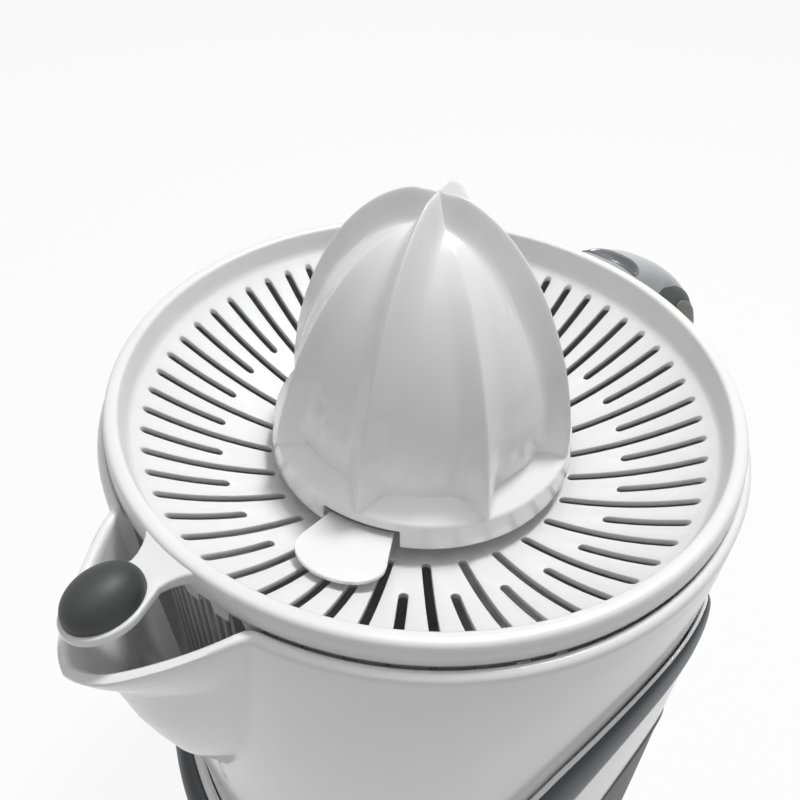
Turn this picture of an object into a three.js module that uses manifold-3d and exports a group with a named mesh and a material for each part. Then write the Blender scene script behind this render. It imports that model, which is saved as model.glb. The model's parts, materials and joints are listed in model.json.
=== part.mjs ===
// Citrus press juicer: a motor base with two raised side cradles, a spouted jug that
// stands in it, a strainer tray over the jug, and a two-part reamer driven from below.
// Millimetres, +Z up. Every piece is built about the drive axis, and the finished group
// is moved so that the origin is the centre of the bounding box on the standing plane.
// The spout points to -Y and the handle to +Y.

import * as THREE from "three";
import { mergeVertices } from "three/addons/utils/BufferGeometryUtils.js";
import Module from "manifold-3d";

const wasm = await Module();
wasm.setup();

// ---- driving dimensions ---------------------------------------------------------------
const rimHeight = 190; // plane of the strainer tray's rim above the table
const trayRadius = 70; // inner top edge of the tray's rim
const gap = 0.3; // clearance between pieces that touch on the real object
const pressTravel = 1; // how far the reamer goes down to close the switch
const around = 36; // facets of the jug and the base

const spoutReach = 97.4;
const handleReach = 139.4;
const axisShift = (spoutReach - handleReach) / 2;

const jug = { foot: 31, floor: 92, rim: 183.8, rimInner: 72.9, wall: 2.8, tube: 12, tubeBore: 9.6, tubeTop: 162.4 };
const base = { bottom: 5.5, ledge: 19, deck: 30, deckThickness: 2.4, low: 39.5, high: 157.5, reach: 78, wall: 2.6 };
const tower = { radius: 58, top: 82, wall: 2.5, shaftHole: 7.5 };
const trimWidth = 12;
const bowl = { curve: 1.51 * trayRadius, centre: 1.05 * trayRadius, thickness: 1.8 };
const slots = { count: 60, outer: 0.955 * trayRadius, short: 0.708 * trayRadius, long: 0.542 * trayRadius, width: 1.8 };
const cone = { flange: 37.6, under: -21, seat: -14, crest: 45, dome: 34.5, domeRadius: 32, crestRadius: 36.8 };
const finTurn = -71.3; // direction of the main fin that stands over the tab, degrees
const spout = { bottom: 103, wall: 2.2, combSlots: 9, combPitch: 3, combTop: 180 };
const gearing = { module: 1.5, pinion: 10, wheel: 30 };

// ---- small helpers --------------------------------------------------------------------
const rad = THREE.MathUtils.degToRad;

function weld(geometry) {
  const bare = geometry.index ? geometry.toNonIndexed() : geometry;
  bare.deleteAttribute("normal");
  bare.deleteAttribute("uv");
  const merged = mergeVertices(bare, 1e-4);
  const index = merged.index.array;
  const kept = [];
  for (let i = 0; i < index.length; i += 3) {
    const [a, b, c] = [index[i], index[i + 1], index[i + 2]];
    if (a !== b && b !== c && c !== a) kept.push(a, b, c);
  }
  merged.setIndex(kept);
  return merged;
}

function solid(geometry) {
  const welded = weld(geometry);
  const vertProperties = Float32Array.from(welded.attributes.position.array);
  const build = (triangles) => {
    const mesh = new wasm.Mesh({ numProp: 3, vertProperties, triVerts: Uint32Array.from(triangles) });
    return new wasm.Manifold(mesh);
  };
  const triangles = Array.from(welded.index.array);
  const body = build(triangles);
  if (body.volume() > 0) return body;
  for (let i = 0; i < triangles.length; i += 3) triangles.splice(i + 1, 2, triangles[i + 2], triangles[i + 1]);
  return build(triangles);
}

const join = (...bodies) => bodies.reduce((a, b) => a.add(b));
const cut = (body, ...tools) => tools.reduce((a, b) => a.subtract(b), body);
const meet = (a, b) => a.intersect(b);
const unite = (bodies) => bodies.reduce((a, b) => a.add(b));

function toGeometry(body) {
  const mesh = body.getMesh();
  const geometry = new THREE.BufferGeometry();
  geometry.setAttribute("position", new THREE.BufferAttribute(Float32Array.from(mesh.vertProperties), 3));
  geometry.setIndex(Array.from(mesh.triVerts));
  return geometry;
}

// Solid of revolution about Z. The profile is a closed loop of [radius, height] points,
// or runs from axis to axis; facets are turned by half a step so slots meet flat faces.
function turn(profile, segments = around) {
  const closed = profile[0][0] > 0 || profile[profile.length - 1][0] > 0;
  const loop = closed ? [...profile, profile[0]] : profile;
  const points = loop.map(([r, z]) => new THREE.Vector2(r, z));
  const geometry = new THREE.LatheGeometry(points, segments, Math.PI / segments);
  geometry.rotateX(Math.PI / 2);
  return solid(geometry);
}

const cylinder = (radius, low, high, segments = 32) =>
  turn([[0, low], [radius, low], [radius, high], [0, high]], segments);

const ring = (inner, outer, low, high, segments = 32) =>
  turn([[inner, low], [outer, low], [outer, high], [inner, high]], segments);

function block(x0, x1, y0, y1, z0, z1) {
  const geometry = new THREE.BoxGeometry(x1 - x0, y1 - y0, z1 - z0);
  geometry.translate((x0 + x1) / 2, (y0 + y1) / 2, (z0 + z1) / 2);
  return solid(geometry);
}

// Upright prism over an outline of [x, y] points.
function prism(outline, low, high) {
  const shape = new THREE.Shape(outline.map(([x, y]) => new THREE.Vector2(x, y)));
  const geometry = new THREE.ExtrudeGeometry(shape, { depth: high - low, bevelEnabled: false });
  geometry.translate(0, 0, low);
  return solid(geometry);
}

// Prism along Y over an outline of [x, z] points, from y = -reach to reach.
function prismAlongY(outline, reach) {
  const shape = new THREE.Shape(outline.map(([x, z]) => new THREE.Vector2(x, z)));
  const geometry = new THREE.ExtrudeGeometry(shape, { depth: 2 * reach, bevelEnabled: false });
  geometry.rotateX(Math.PI / 2);
  geometry.translate(0, reach, 0);
  return solid(geometry);
}

// Skin over a stack of rings with equal point counts, closed by a fan at each end.
function loft(rings) {
  const count = rings[0].length;
  const positions = rings.flat().flatMap((p) => [p.x, p.y, p.z]);
  const index = [];
  for (let k = 0; k + 1 < rings.length; k++) {
    for (let i = 0; i < count; i++) {
      const [a, b] = [k * count + i, k * count + ((i + 1) % count)];
      index.push(a, b, b + count, a, b + count, a + count);
    }
  }
  for (const [ringIndex, flip] of [[0, true], [rings.length - 1, false]]) {
    const middle = rings[ringIndex].reduce((sum, p) => sum.add(p), new THREE.Vector3()).divideScalar(count);
    const hub = positions.push(middle.x, middle.y, middle.z) / 3 - 1;
    for (let i = 0; i < count; i++) {
      const [a, b] = [ringIndex * count + i, ringIndex * count + ((i + 1) % count)];
      index.push(...(flip ? [b, a, hub] : [a, b, hub]));
    }
  }
  const geometry = new THREE.BufferGeometry();
  geometry.setAttribute("position", new THREE.Float32BufferAttribute(positions, 3));
  geometry.setIndex(index);
  return solid(geometry);
}

const spin = (body, degrees) => body.rotate([0, 0, degrees]);
const shift = (body, x, y, z = 0) => body.translate([x, y, z]);

// Value of a table of [key, value] pairs at a key, straight between the entries.
function along(table, key) {
  if (key <= table[0][0]) return table[0][1];
  for (let i = 1; i < table.length; i++) {
    const [[k0, v0], [k1, v1]] = [table[i - 1], table[i]];
    if (key <= k1) return v0 + ((v1 - v0) * (key - k0)) / (k1 - k0);
  }
  return table[table.length - 1][1];
}

// ---- finishes -------------------------------------------------------------------------
const finish = (color, roughness, metalness = 0) => new THREE.MeshStandardMaterial({ color, roughness, metalness });
const white = finish(0xf4f4f2, 0.25);
const trayWhite = finish(0xf8f8f7, 0.3);
const handleGrey = finish(0xa9abad, 0.35);
const darkGrey = finish(0x4b4e50, 0.3);
const padGrey = finish(0x3c3e3f, 0.15);
const chrome = finish(0xc9ccd0, 0.12, 1);
const rubber = finish(0x2b2b2c, 0.8);
const steel = finish(0xb8babd, 0.3, 1);
const zinc = finish(0x9a9da0, 0.45, 1);
const copper = finish(0xb0683a, 0.4, 1);
const acetal = finish(0xe6e2d6, 0.45);
const nylon = finish(0xd8d8d0, 0.5);
const blackPlastic = finish(0x222326, 0.5);
const ferrite = finish(0x3a3a3c, 0.7);
const brass = finish(0xb8944c, 0.35, 1);

// ---- shared outlines ------------------------------------------------------------------
// Outer radius of the jug's wall, and of the base's wall, by height.
const jugWall = [[jug.foot, 72.8], [120, 74.9], [162, 75.8], [182.8, 75.6]];
const baseWall = [[base.bottom, 83], [100, 79.4], [base.high, 77.9]];
const jugRadius = (z) => along(jugWall, z);
const baseRadius = (z) => along(baseWall, z);

// Height of the parting curve between jug and base: low at front and back, high at the
// sides, with flat crowns and steep flanks. It is the same curve on every radius, given
// by the sideways distance x.
function partingHeight(x) {
  const turned = Math.max(0, 1 - (x / base.reach) ** 2) ** 1.33;
  return base.high - ((base.high - base.low) * 1.74 * turned) / (turned + 0.74);
}

// The parting curve lowered by the width of the trim, square to its slope on the wall.
function trimBottom(x, width) {
  const angle = Math.acos(Math.min(1, Math.abs(x) / base.reach));
  const [a, b] = [angle - 0.05, angle + 0.05].map((t) => partingHeight(base.reach * Math.cos(t)));
  return partingHeight(x) - width * Math.hypot(1, (a - b) / (0.1 * base.reach));
}

// Everything above a height that depends on x, as a long prism.
function above(heightAt) {
  const edge = [];
  for (let angle = 180; angle >= 0; angle -= 15) {
    const x = base.reach * Math.cos(rad(angle));
    edge.push([x, heightAt(x)]);
  }
  const [side, top] = [base.reach + 8, heightAt(base.reach)];
  return prismAlongY([[-side, top], ...edge, [side, top], [side, 220], [-side, 220]], 100);
}

// ---- base -----------------------------------------------------------------------------
const gripOutline = (grow) => {
  const [top, foot, halfWidth] = [120 + grow, 24 - grow, 30 + grow];
  const points = [[-halfWidth, foot], [halfWidth, foot]];
  for (let step = 1; step < 12; step++) {
    const a = (Math.PI * step) / 12;
    points.push([halfWidth * Math.cos(a) ** 1 * (1 - 0.12 * Math.sin(a)), foot + 20 + (top - foot - 20) * Math.sin(a)]);
  }
  return points;
};

function gripArch(grow, side) {
  const shape = new THREE.Shape(gripOutline(grow).map(([y, z]) => new THREE.Vector2(y, z)));
  const geometry = new THREE.ExtrudeGeometry(shape, { depth: 60, bevelEnabled: false });
  geometry.rotateX(Math.PI / 2);
  geometry.rotateZ(Math.PI / 2);
  const arch = solid(geometry.translate(side > 0 ? 40 : -100, 0, 0));
  return arch;
}

function sideGrip(side) {
  const inset = 0.8;
  const proud = 0.5;
  const inner = baseWall.map(([z, r]) => [r - inset, z]);
  const outer = baseWall.map(([z, r]) => [r + proud, z]).reverse();
  return meet(turn([...inner, ...outer], around), gripArch(-gap, side));
}

const bossPlaces = [45, 135, 225, 315].map((a) => [66 * Math.cos(rad(a)), 66 * Math.sin(rad(a))]);

function baseHousing() {
  const inner = [120, base.high + 8].map((z) => [jugRadius(z) + 0.6, z]);
  const outer = [...baseWall, [base.high + 8, 77.9]].map(([z, r]) => [r, z]).reverse();
  const underDeck = base.deck - base.deckThickness;
  const rimEdge = jugRadius(jug.foot);
  const shell = turn([
    [83 - base.wall, base.bottom],
    [82.5 - base.wall, base.ledge],
    [rimEdge - 2.4, base.ledge],
    [rimEdge - 2.4, underDeck],
    [tower.radius - tower.wall, underDeck],
    [tower.radius, base.deck],
    [rimEdge + 0.6, base.deck],
    ...inner,
    ...outer,
  ]);
  const trimSeat = meet(above((x) => trimBottom(x, trimWidth) - gap), ring(rimEdge + 0.2, 100, 0, 220, around));
  const cradle = cut(shell, trimSeat);
  const motorTower = turn([
    [tower.radius, base.deck - 1],
    [tower.radius - 2, tower.top - 8],
    [tower.radius - 10, tower.top],
    [14, tower.top],
    [13, tower.top + 3],
    [tower.shaftHole, tower.top + 3],
    [tower.shaftHole, tower.top - tower.wall],
    [tower.radius - 11, tower.top - tower.wall],
    [tower.radius - 2 - tower.wall, tower.top - 9],
    [tower.radius - tower.wall, underDeck],
  ], 24);
  const ceiling = tower.top - tower.wall;
  const bosses = bossPlaces.map(([x, y]) => shift(cylinder(4.5, base.bottom, underDeck + 1, 8), x, y));
  const hangers = pillarPlaces.map(([x, y]) => shift(cylinder(4.5, level.cover[1] + gap, ceiling + 1, 8), x, y));
  const screwHoles = bossPlaces.map(([x, y]) => shift(cylinder(1.7, 0, 20, 8), x, y));
  const studHoles = pillarPlaces.map(([x, y]) => shift(cylinder(1.8, 50, ceiling - 1, 8), x, y));
  const cordHole = block(-6, 6, 77, 90, cordHeight - 5, cordHeight + 5);
  const grips = [1, -1].map((side) => {
    const recess = turn([...baseWall.map(([z, r]) => [r - 1.1, z]), [95, base.high], [95, 0]], around);
    return meet(recess, gripArch(0, side));
  });
  const body = join(cradle, motorTower, ...bosses, ...hangers);
  return cut(body, ...screwHoles, ...studHoles, cordHole, ...grips);
}

function trimRing() {
  const heights = [base.low - 22, 100, base.high + 4];
  const inner = heights.map((z) => [jugRadius(Math.max(z, jug.foot)) + 0.5, z]);
  const outer = heights.map((z) => [baseRadius(z) + 0.5, z]).reverse();
  const band = turn([...inner, ...outer]);
  const shoulder = meet(above((x) => trimBottom(x, 3)), ring(77.1, 100, 0, 220, around));
  return cut(meet(band, above((x) => trimBottom(x, trimWidth))), above(partingHeight), shoulder);
}

function bottomPlate() {
  const plate = turn([[0, 3], [80.5, 3], [82.6, 5.2 - gap], [0, 5.2 - gap]]);
  const holes = bossPlaces.map(([x, y]) => shift(cylinder(2, 0, 10, 8), x, y));
  const feet = footPlaces.map(([x, y]) => shift(cylinder(8.3, 0, 4, 16), x, y));
  return cut(plate, ...holes, ...feet);
}

const footPlaces = [20, 160, 200, 340].map((a) => [64 * Math.cos(rad(a)), 64 * Math.sin(rad(a))]);

const foot = () => turn([[0, 0], [6.6, 0], [8, 1], [8, 3.7], [0, 3.7]], 16);

const plateScrew = () => join(cylinder(3.2, 1.2, 2.7, 10), cylinder(1.4, 2, 17, 8));

const cordHeight = 12.5;

const cordInlet = () => {
  const neck = block(-5.7, 5.7, 77.5, 84, cordHeight - 4.7, cordHeight + 4.7);
  const flange = block(-7.5, 7.5, 83.2, 84.6, cordHeight - 6, cordHeight + 6);
  const bore = cylinder(3.5, -100, 100, 12).rotate([90, 0, 0]).translate([0, 0, cordHeight]);
  return cut(join(neck, flange), bore);
};

// ---- drive train ----------------------------------------------------------------------
const pinionRadius = (gearing.module * gearing.pinion) / 2;
const centreDistance = (gearing.module * (gearing.pinion + gearing.wheel)) / 2;
const layshaft = [0, centreDistance];
const motorAxis = [-centreDistance * Math.cos(rad(15)), centreDistance * (1 - Math.sin(rad(15)))];
const level = { can: [6, 27.2], plate: [30.5, 33], first: [36, 41], second: [42.5, 47.5], cover: [52, 54.5] };

// Straight-sided spur gear; phase turns it by a fraction of its pitch.
function gear(teeth, low, high, bore, phase = 0) {
  const pitch = (gearing.module * teeth) / 2;
  const [root, tip] = [pitch - 1.25 * gearing.module, pitch + 0.9 * gearing.module];
  const step = 360 / teeth;
  const outline = [];
  for (let tooth = 0; tooth < teeth; tooth++) {
    for (const [offset, radius] of [[-0.33, root], [-0.1, tip], [0.1, tip], [0.33, root]]) {
      const a = rad((tooth + phase + offset) * step);
      outline.push([radius * Math.cos(a), radius * Math.sin(a)]);
    }
  }
  const body = prism(outline, low, high);
  return bore > 0 ? cut(body, cylinder(bore, low - 1, high + 1, 20)) : body;
}

function motorCan() {
  const [low, high] = level.can;
  const shell = [[8, low], [24, low], [24, high], [8, high]];
  const can = turn([...shell, [8, high - 1.5], [22.4, high - 1.5], [22.4, low + 1.5], [8, low + 1.5]], 20);
  const across = Math.atan2(motorAxis[1], motorAxis[0]) + Math.PI / 2;
  const ears = block(-29, 29, -4.5, 4.5, high - gap, level.plate[0] - gap);
  const shaftHole = cylinder(8, high - 2, level.plate[0], 20);
  return join(can, cut(ears, shaftHole).rotate([0, 0, THREE.MathUtils.radToDeg(across)]));
}

const statorCoil = () => ring(12.5, 21.9, level.can[0] + 2, level.can[1] - 2, 20);

const motorRotor = () => ring(2.3, 11, level.can[0] + 2, level.can[1] - 2, 16);

const motorPinion = () =>
  join(cylinder(2, level.can[0] + 1, level.first[1] + 1, 12), gear(gearing.pinion, ...level.first, 0, 1 / 6));

const pillarPlaces = [[38, 22], [-4, -44], [-44, -14]];

// Round plate of the gear frame with holes for the shafts and the pillars' studs.
function framePlate([low, high], ...holes) {
  const disc = cylinder(50, low, high, 32);
  const studs = [...pillarPlaces, layshaft].map(([x, y]) => shift(cylinder(1.8, low - 1, high + 1, 8), x, y));
  return cut(disc, cylinder(8.3, low - 1, high + 1, 16), ...studs, ...holes);
}

const gearboxPlate = () => framePlate(level.plate, shift(cylinder(6, 30, 40, 12), ...motorAxis));

const gearboxCover = () => framePlate(level.cover);

const pillar = () =>
  join(
    cylinder(3.5, level.plate[1] + gap, level.cover[0] - gap, 10),
    cylinder(1.5, level.plate[0] - 1.5, level.cover[1] + 7, 8),
  );

const flangedBush = ([low, high]) => turn([[4.35, low], [8, low], [8, high + gap], [10, high + gap], [10, high + 1.5], [4.35, high + 1.5]], 16);

const layshaftPin = () => cylinder(1.5, level.plate[0] - 1, level.cover[1] + 1, 10);

const layshaftGear = () =>
  join(
    gear(gearing.wheel, ...level.first, 1.9),
    gear(gearing.pinion, level.first[1] - 0.5, level.second[1] + 1, 1.9),
  );

const keySlot = { halfWidth: 1.3, depth: 6 };

const outputGear = () =>
  cut(
    join(gear(gearing.wheel, ...level.second, 4.4, 0.5), ring(4.4, 8, level.second[0] - 0.9, level.second[1] + 1.5, 16)),
    block(-keySlot.halfWidth, keySlot.halfWidth, -keySlot.depth, 0, 40, 60),
  );

const hexagon = (radius) =>
  Array.from({ length: 6 }, (_, i) => [radius * Math.cos(rad(60 * i)), radius * Math.sin(rad(60 * i))]);

// Drive shaft: round in the gearbox with a key into the output gear, six-sided on top.
function driveShaft() {
  const stem = cylinder(4, shaftFoot, rimHeight - 22, 16);
  const key = block(-1, 1, -keySlot.depth + 0.4, -2, level.second[0] - 0.5, level.second[1] + 2);
  return join(stem, key, prism(hexagon(5), rimHeight - 24, rimHeight + 2));
}

const shaftSeal = () => {
  const ceiling = tower.top - tower.wall;
  const [low, high] = [ceiling - 2, tower.top + 2];
  return turn([[4.4, low], [10.5, low], [10.5, ceiling - gap], [7.2, ceiling - gap], [7.2, high], [4.4, high]], 16);
};

// Cup under the shaft: it doesn't turn, and carries the spring and the switch button.
const shaftFoot = 27.3;
const cupFoot = 20;
const seatTop = 14;

const thrustCup = () =>
  cut(
    join(cylinder(6.5, cupFoot, 30, 16), cylinder(9, cupFoot, cupFoot + 1.8, 16)),
    cylinder(4.4, shaftFoot - gap, 40, 12),
  );

class Helix extends THREE.Curve {
  constructor(radius, low, high, turns) {
    super();
    Object.assign(this, { radius, low, high, turns });
  }

  getPoint(t, target = new THREE.Vector3()) {
    const a = 2 * Math.PI * this.turns * t;
    return target.set(this.radius * Math.cos(a), this.radius * Math.sin(a), this.low + (this.high - this.low) * t);
  }
}

function returnSpring() {
  const wire = 0.55;
  const path = new Helix(7.6, seatTop + gap + wire, cupFoot - gap - wire, 3);
  const section = new THREE.Shape().absarc(0, 0, wire, 0, 2 * Math.PI);
  return solid(new THREE.ExtrudeGeometry(section, { steps: 30, extrudePath: path, curveSegments: 3 }));
}

const switchTop = 10.6;

// Bridge over the switch that the spring stands on.
const springSeat = () =>
  join(
    ring(2.4, 11, seatTop - 2, seatTop, 16),
    block(-4, 4, 7, 10.4, 5.2, seatTop - 1),
    block(-4, 4, -10.4, -7, 5.2, seatTop - 1),
  );

const microswitch = () => join(block(-10, 10, -3.2, 3.2, 5.2, 9.8), block(-7, 3, -1.5, 1.5, 9.5, switchTop));

const switchButton = () => cylinder(1.5, switchTop + pressTravel + 0.2, cupFoot - gap, 10);

// ---- jug ------------------------------------------------------------------------------
// Half-width of the spout where it leaves the wall, and distance of its keel from the
// axis, by height.
const spoutWidth = [[spout.bottom, 2], [117, 9.3], [134, 13.6], [153, 17], [172, 19.8], [jug.rim, 20.8]];
const keelReach = [
  [spout.bottom, 75.2], [113, 78.6], [125, 82.9], [137, 86], [148, 88.3], [161, 89.8], [166, 90.9], [174, 95.2],
  [178.5, spoutReach], [jug.rim, spoutReach],
];
// Foot of the comb's slot at a sideways distance: it stays inside the spout's channel.
const combFoot = (x) => Math.max(124, along(spoutWidth.map(([z, w]) => [w, z]), Math.abs(x) + 4));
const spoutRoot = 71;
const spoutSteps = [0, 0.35, 0.68, 0.85, 0.95];
const lipSlope = 14; // degrees by which the spout's lip drops towards its tip

function spoutRing(z, inset) {
  const halfWidth = Math.max(0.6, along(spoutWidth, z) - inset);
  const length = along(keelReach, z) - inset - spoutRoot;
  const right = spoutSteps.map((t) => {
    const taper = Math.sqrt(1 - t ** 8) * (1 - 0.7 * t);
    return new THREE.Vector3(halfWidth * 1.08 * taper, -spoutRoot - t * length, z);
  });
  const left = right.map((p) => new THREE.Vector3(-p.x, p.y, z)).reverse();
  return [...right, new THREE.Vector3(0, -spoutRoot - length, z), ...left];
}

function jugBody() {
  const wall = jugWall.map(([z, r]) => [r, z]);
  const inside = [165, jug.floor + 6].map((z) => [jugRadius(z) - jug.wall, z]);
  const cup = turn([
    ...wall,
    [74.9, jug.rim],
    [jug.rimInner, jug.rim],
    ...inside,
    [67, jug.floor],
    [jug.tube, jug.floor],
    [jug.tube, jug.tubeTop],
    [jug.tubeBore, jug.tubeTop],
    [jug.tubeBore, jug.floor - 2.6],
    [70.7, jug.floor - 2.6],
    [70.4, jug.foot],
  ]);
  const levels = [spout.bottom, 113, 125, 137, 153, 166, 174, 178.5, jug.rim];
  const outer = loft(levels.map((z) => spoutRing(z, 0)));
  const shell = cut(outer, cylinder(jugRadius(120) - 1.5, 0, 220, around));
  const hollow = loft([...levels.slice(1, -1), jug.rim + 3].map((z) => spoutRing(z, spout.wall)));
  const channel = cut(hollow, cylinder(75, 0, 220, around));
  const mouth = block(-17.5, 17.5, -77, -68, spout.combTop, rimHeight);
  const comb = [];
  for (let i = 0; i < spout.combSlots; i++) {
    const angle = (i - (spout.combSlots - 1) / 2) * spout.combPitch;
    comb.push(spin(block(-0.9, 0.9, -78, -69, combFoot(75 * Math.sin(rad(angle))), spout.combTop - 3.5), angle));
  }
  const overLip = block(-30, 30, -30, 0, 0, 12).rotate([lipSlope, 0, 0]).translate([0, -76, jug.rim]);
  return cut(join(cup, shell), channel, mouth, overLip, ...comb);
}

// Handle: a closed loop in the plane of the drive axis and the spout, with its widest
// part in the grip. Points are [y, z], from the upper root to the lower one.
const handlePath = new THREE.CatmullRomCurve3(
  [
    [70, 179.5], [84, 176.5], [99, 171], [115.5, 162.5], [127.5, 149.5], [132, 131], [128.5, 111], [118, 94],
    [102, 83], [86, 77], [70, 75],
  ].map(([y, z]) => new THREE.Vector3(0, y, z)),
  false,
  "centripetal",
);
const handleHalfWidth = [[0, 10.5], [0.12, 11], [0.3, 15], [0.42, 19.5], [0.7, 18], [1, 13]];
const handleDepth = [[0, 7], [0.3, 7.5], [0.7, 7.8], [1, 7]];

// Stretch of the handle from t0 to t1: the whole section, or its outer half for the grip.
function handleSweep(t0, t1, steps, { grow = 0, rise = 0, outerHalf = false } = {}) {
  const round = (value) => Math.sign(value) * Math.abs(value) ** 0.75;
  const rings = [];
  for (let k = 0; k <= steps; k++) {
    const t = t0 + ((t1 - t0) * k) / steps;
    const centre = handlePath.getPointAt(t);
    const tangent = handlePath.getTangentAt(t);
    const outward = new THREE.Vector3(0, -tangent.z, tangent.y);
    const [halfWidth, depth] = [along(handleHalfWidth, t) + grow, along(handleDepth, t) + grow + rise];
    const points = [];
    for (let i = 0; i < 12; i++) {
      const angle = (outerHalf ? Math.PI / 11 : Math.PI / 6) * i;
      const height = depth * round(Math.sin(angle));
      points.push(
        new THREE.Vector3(halfWidth * round(Math.cos(angle)), 0, 0)
          .add(centre)
          .addScaledVector(outward, outerHalf ? Math.max(2.4 - 0.7 * grow, height) : height),
      );
    }
    rings.push(points);
  }
  return loft(rings);
}

const gripSpan = [0.34, 0.9];

function jugHandle() {
  const body = handleSweep(0, 1, 16);
  const clear = turn([...jugWall.map(([z, r]) => [r + gap, z]), [76, 195], [0, 195], [0, jug.foot]]);
  const bed = { grow: 0.5, rise: 3, outerHalf: true };
  const gripBed = handleSweep(gripSpan[0] - 0.006, gripSpan[1] + 0.006, 9, bed);
  const inlayBed = inlayBlock(0, 30, gap);
  return cut(body, clear, gripBed, inlayBed);
}

const handleGrip = () => handleSweep(gripSpan[0], gripSpan[1], 9, { outerHalf: true });

// Bar shape of the inlay, along the slope of the handle's top.
const inlayBlock = (low, high, grow) =>
  block(-4.2 - grow, 4.2 + grow, -17 - grow, 17 + grow, low - grow, high).rotate([-26, 0, 0]).translate([0, 98, 173.6]);

const handleInlay = () => inlayBlock(0, 1.6, 0);

// ---- strainer tray --------------------------------------------------------------------
const bowlHeight = (r) => bowl.centre - Math.sqrt(bowl.curve ** 2 - r ** 2);

function strainerTray() {
  const radii = [16, 37, 54, slots.outer + 0.5];
  const topSide = radii.map((r) => [r, bowlHeight(r)]);
  const underside = [...radii].reverse().map((r) => [r - 0.4, bowlHeight(r) - bowl.thickness]);
  const dish = turn([
    ...topSide,
    [69.2, -5.2], [trayRadius, 0], [72.4, 0], [73.5, -1.3], [73.6, -5.8], [72.3, -5.8], [72.3, -9.2], [71.2, -9.2],
    ...underside,
  ], slots.count);
  const hub = turn([
    [9.2, -24.4], [15, -24.4], [19, -28.6], [19, -32.2], [15.2, -32.2], [15.2, -36], [12.6, -36], [12.6, -27], [9.2, -27],
  ], 24);
  const slotTools = [];
  for (let i = 0; i < slots.count; i++) {
    const inner = i % 2 ? slots.short : slots.long;
    const half = slots.width / 2;
    slotTools.push(spin(block(inner, slots.outer, -half, half, -32, -2), i * (360 / slots.count)));
  }
  return cut(join(dish, hub, trayArm()), unite(slotTools));
}

const pad = { y: -86, length: 7.6, width: 5.9, plate: -4, rim: -1.8 };

// Arm over the spout that ends in a round finger plate.
function trayArm() {
  const flare = [[-10, -71.6], [-7.8, -73.4], [-6.2, -76], [-5.8, -79]];
  const outline = [...flare];
  for (let step = 0; step <= 10; step++) {
    const a = Math.PI * (0.88 + (1.24 * step) / 10);
    outline.push([(pad.width + 0.7) * Math.cos(a), pad.y + (pad.length + 0.7) * Math.sin(a)]);
  }
  outline.push(...flare.map(([x, y]) => [-x, y]).reverse());
  return prism(outline, pad.plate, pad.rim);
}

function thumbPad() {
  const rings = [[0.96, 0], [1, 1.2], [0.9, 3.6], [0.6, 5.6], [0.2, 6.3]];
  return loft(
    rings.map(([scale, rise]) =>
      Array.from({ length: 20 }, (_, i) => {
        const a = rad(18 * i);
        return new THREE.Vector3(
          pad.width * scale * Math.cos(a),
          pad.y + pad.length * scale * Math.sin(a),
          pad.rim + gap + rise,
        );
      }),
    ),
  );
}

// ---- reamer ---------------------------------------------------------------------------
const oval = (t) => Math.max(0, 1 - t * t) ** 0.54;
const crestRise = (z) => Math.max(0, (z - cone.seat) / (cone.crest - cone.seat));
const mainCrest = (z) => cone.crestRadius * Math.sqrt(Math.max(0, 1 - crestRise(z) ** 1.62));
const domeAt = (z) => Math.max(1.3, cone.domeRadius * oval((z - cone.seat) / (cone.dome - cone.seat)));
const shortCrest = (z) => domeAt(z) + along([[-14, 4.4], [-2, 2.9], [10, 2.4], [20, 2.2], [28, 1.2], [36, 0]], z);
const finSteps = [-22.5, -12, -5, 0, 5, 12];
const flank = 5.5;

// One ring of the finned cone: four tall fins alternate with four short ones.
function finRing(z, crestAt, shortAt, valleyAt) {
  const points = [];
  for (let fin = 0; fin < 8; fin++) {
    const crest = fin % 2 ? shortAt(z) : crestAt(z);
    for (const offset of finSteps) {
      const valley = valleyAt(z);
      const aside = (rad(Math.abs(offset)) * (valley + crest)) / 2;
      const rise = Math.max(0, crest - valley) * Math.max(0, 1 - aside / flank) ** 1.3;
      const a = rad(finTurn + 45 * fin + offset);
      points.push(new THREE.Vector3((valley + rise) * Math.cos(a), (valley + rise) * Math.sin(a), z));
    }
  }
  return points;
}

const windowHalfAngle = 14;

function tabWindow() {
  const outline = [[0, 0]];
  for (const a of [-windowHalfAngle, 0, windowHalfAngle]) {
    outline.push([60 * Math.cos(rad(finTurn - 0.2 + a)), 60 * Math.sin(rad(finTurn - 0.2 + a))]);
  }
  return cut(prism(outline, cone.under - 1, -15.8), cylinder(34, -30, -10, 24));
}

function largeCone() {
  const flange = turn([
    [0, cone.under], [cone.flange, cone.under], [37.3, -18.2], [36.9, -14.8], [36.2, cone.seat + 0.2], [0, cone.seat + 0.2],
  ]);
  const heights = [-16, -12, -2, 9, 19, 27, 32.5, 37, 41, 44.6];
  const fins = loft(heights.map((z) => finRing(z, mainCrest, shortCrest, domeAt)));
  const hollow = turn([
    [0, -30], [36, -30], [36, -17.4], [29, -16.4], [27.6, -4], [22.6, 13], [14.5, 24], [0, 31.5],
  ], 20);
  return cut(join(flange, fins), hollow, tabWindow());
}

function smallCone() {
  const small = { seat: -18.2, dome: 22, crest: 26, domeRadius: 20, crestRadius: 24 };
  const profile = (top, radius) => (z) => Math.max(1, radius * oval((z - small.seat) / (top - small.seat)));
  const heights = [-19, -7, 6, 17, 24];
  const crest = profile(small.crest, small.crestRadius);
  const fins = loft(heights.map((z) => finRing(z, crest, crest, profile(small.dome, small.domeRadius))));
  const flange = turn([[0, -20.1], [34.6, -20.1], [34.6, -18.4], [0, -18.2]], 24);
  const stem = cylinder(8.4, -42, -19, 16);
  return cut(join(fins, flange, tab(), stem), prism(hexagon(5.6), -50, 4.5));
}

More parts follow.
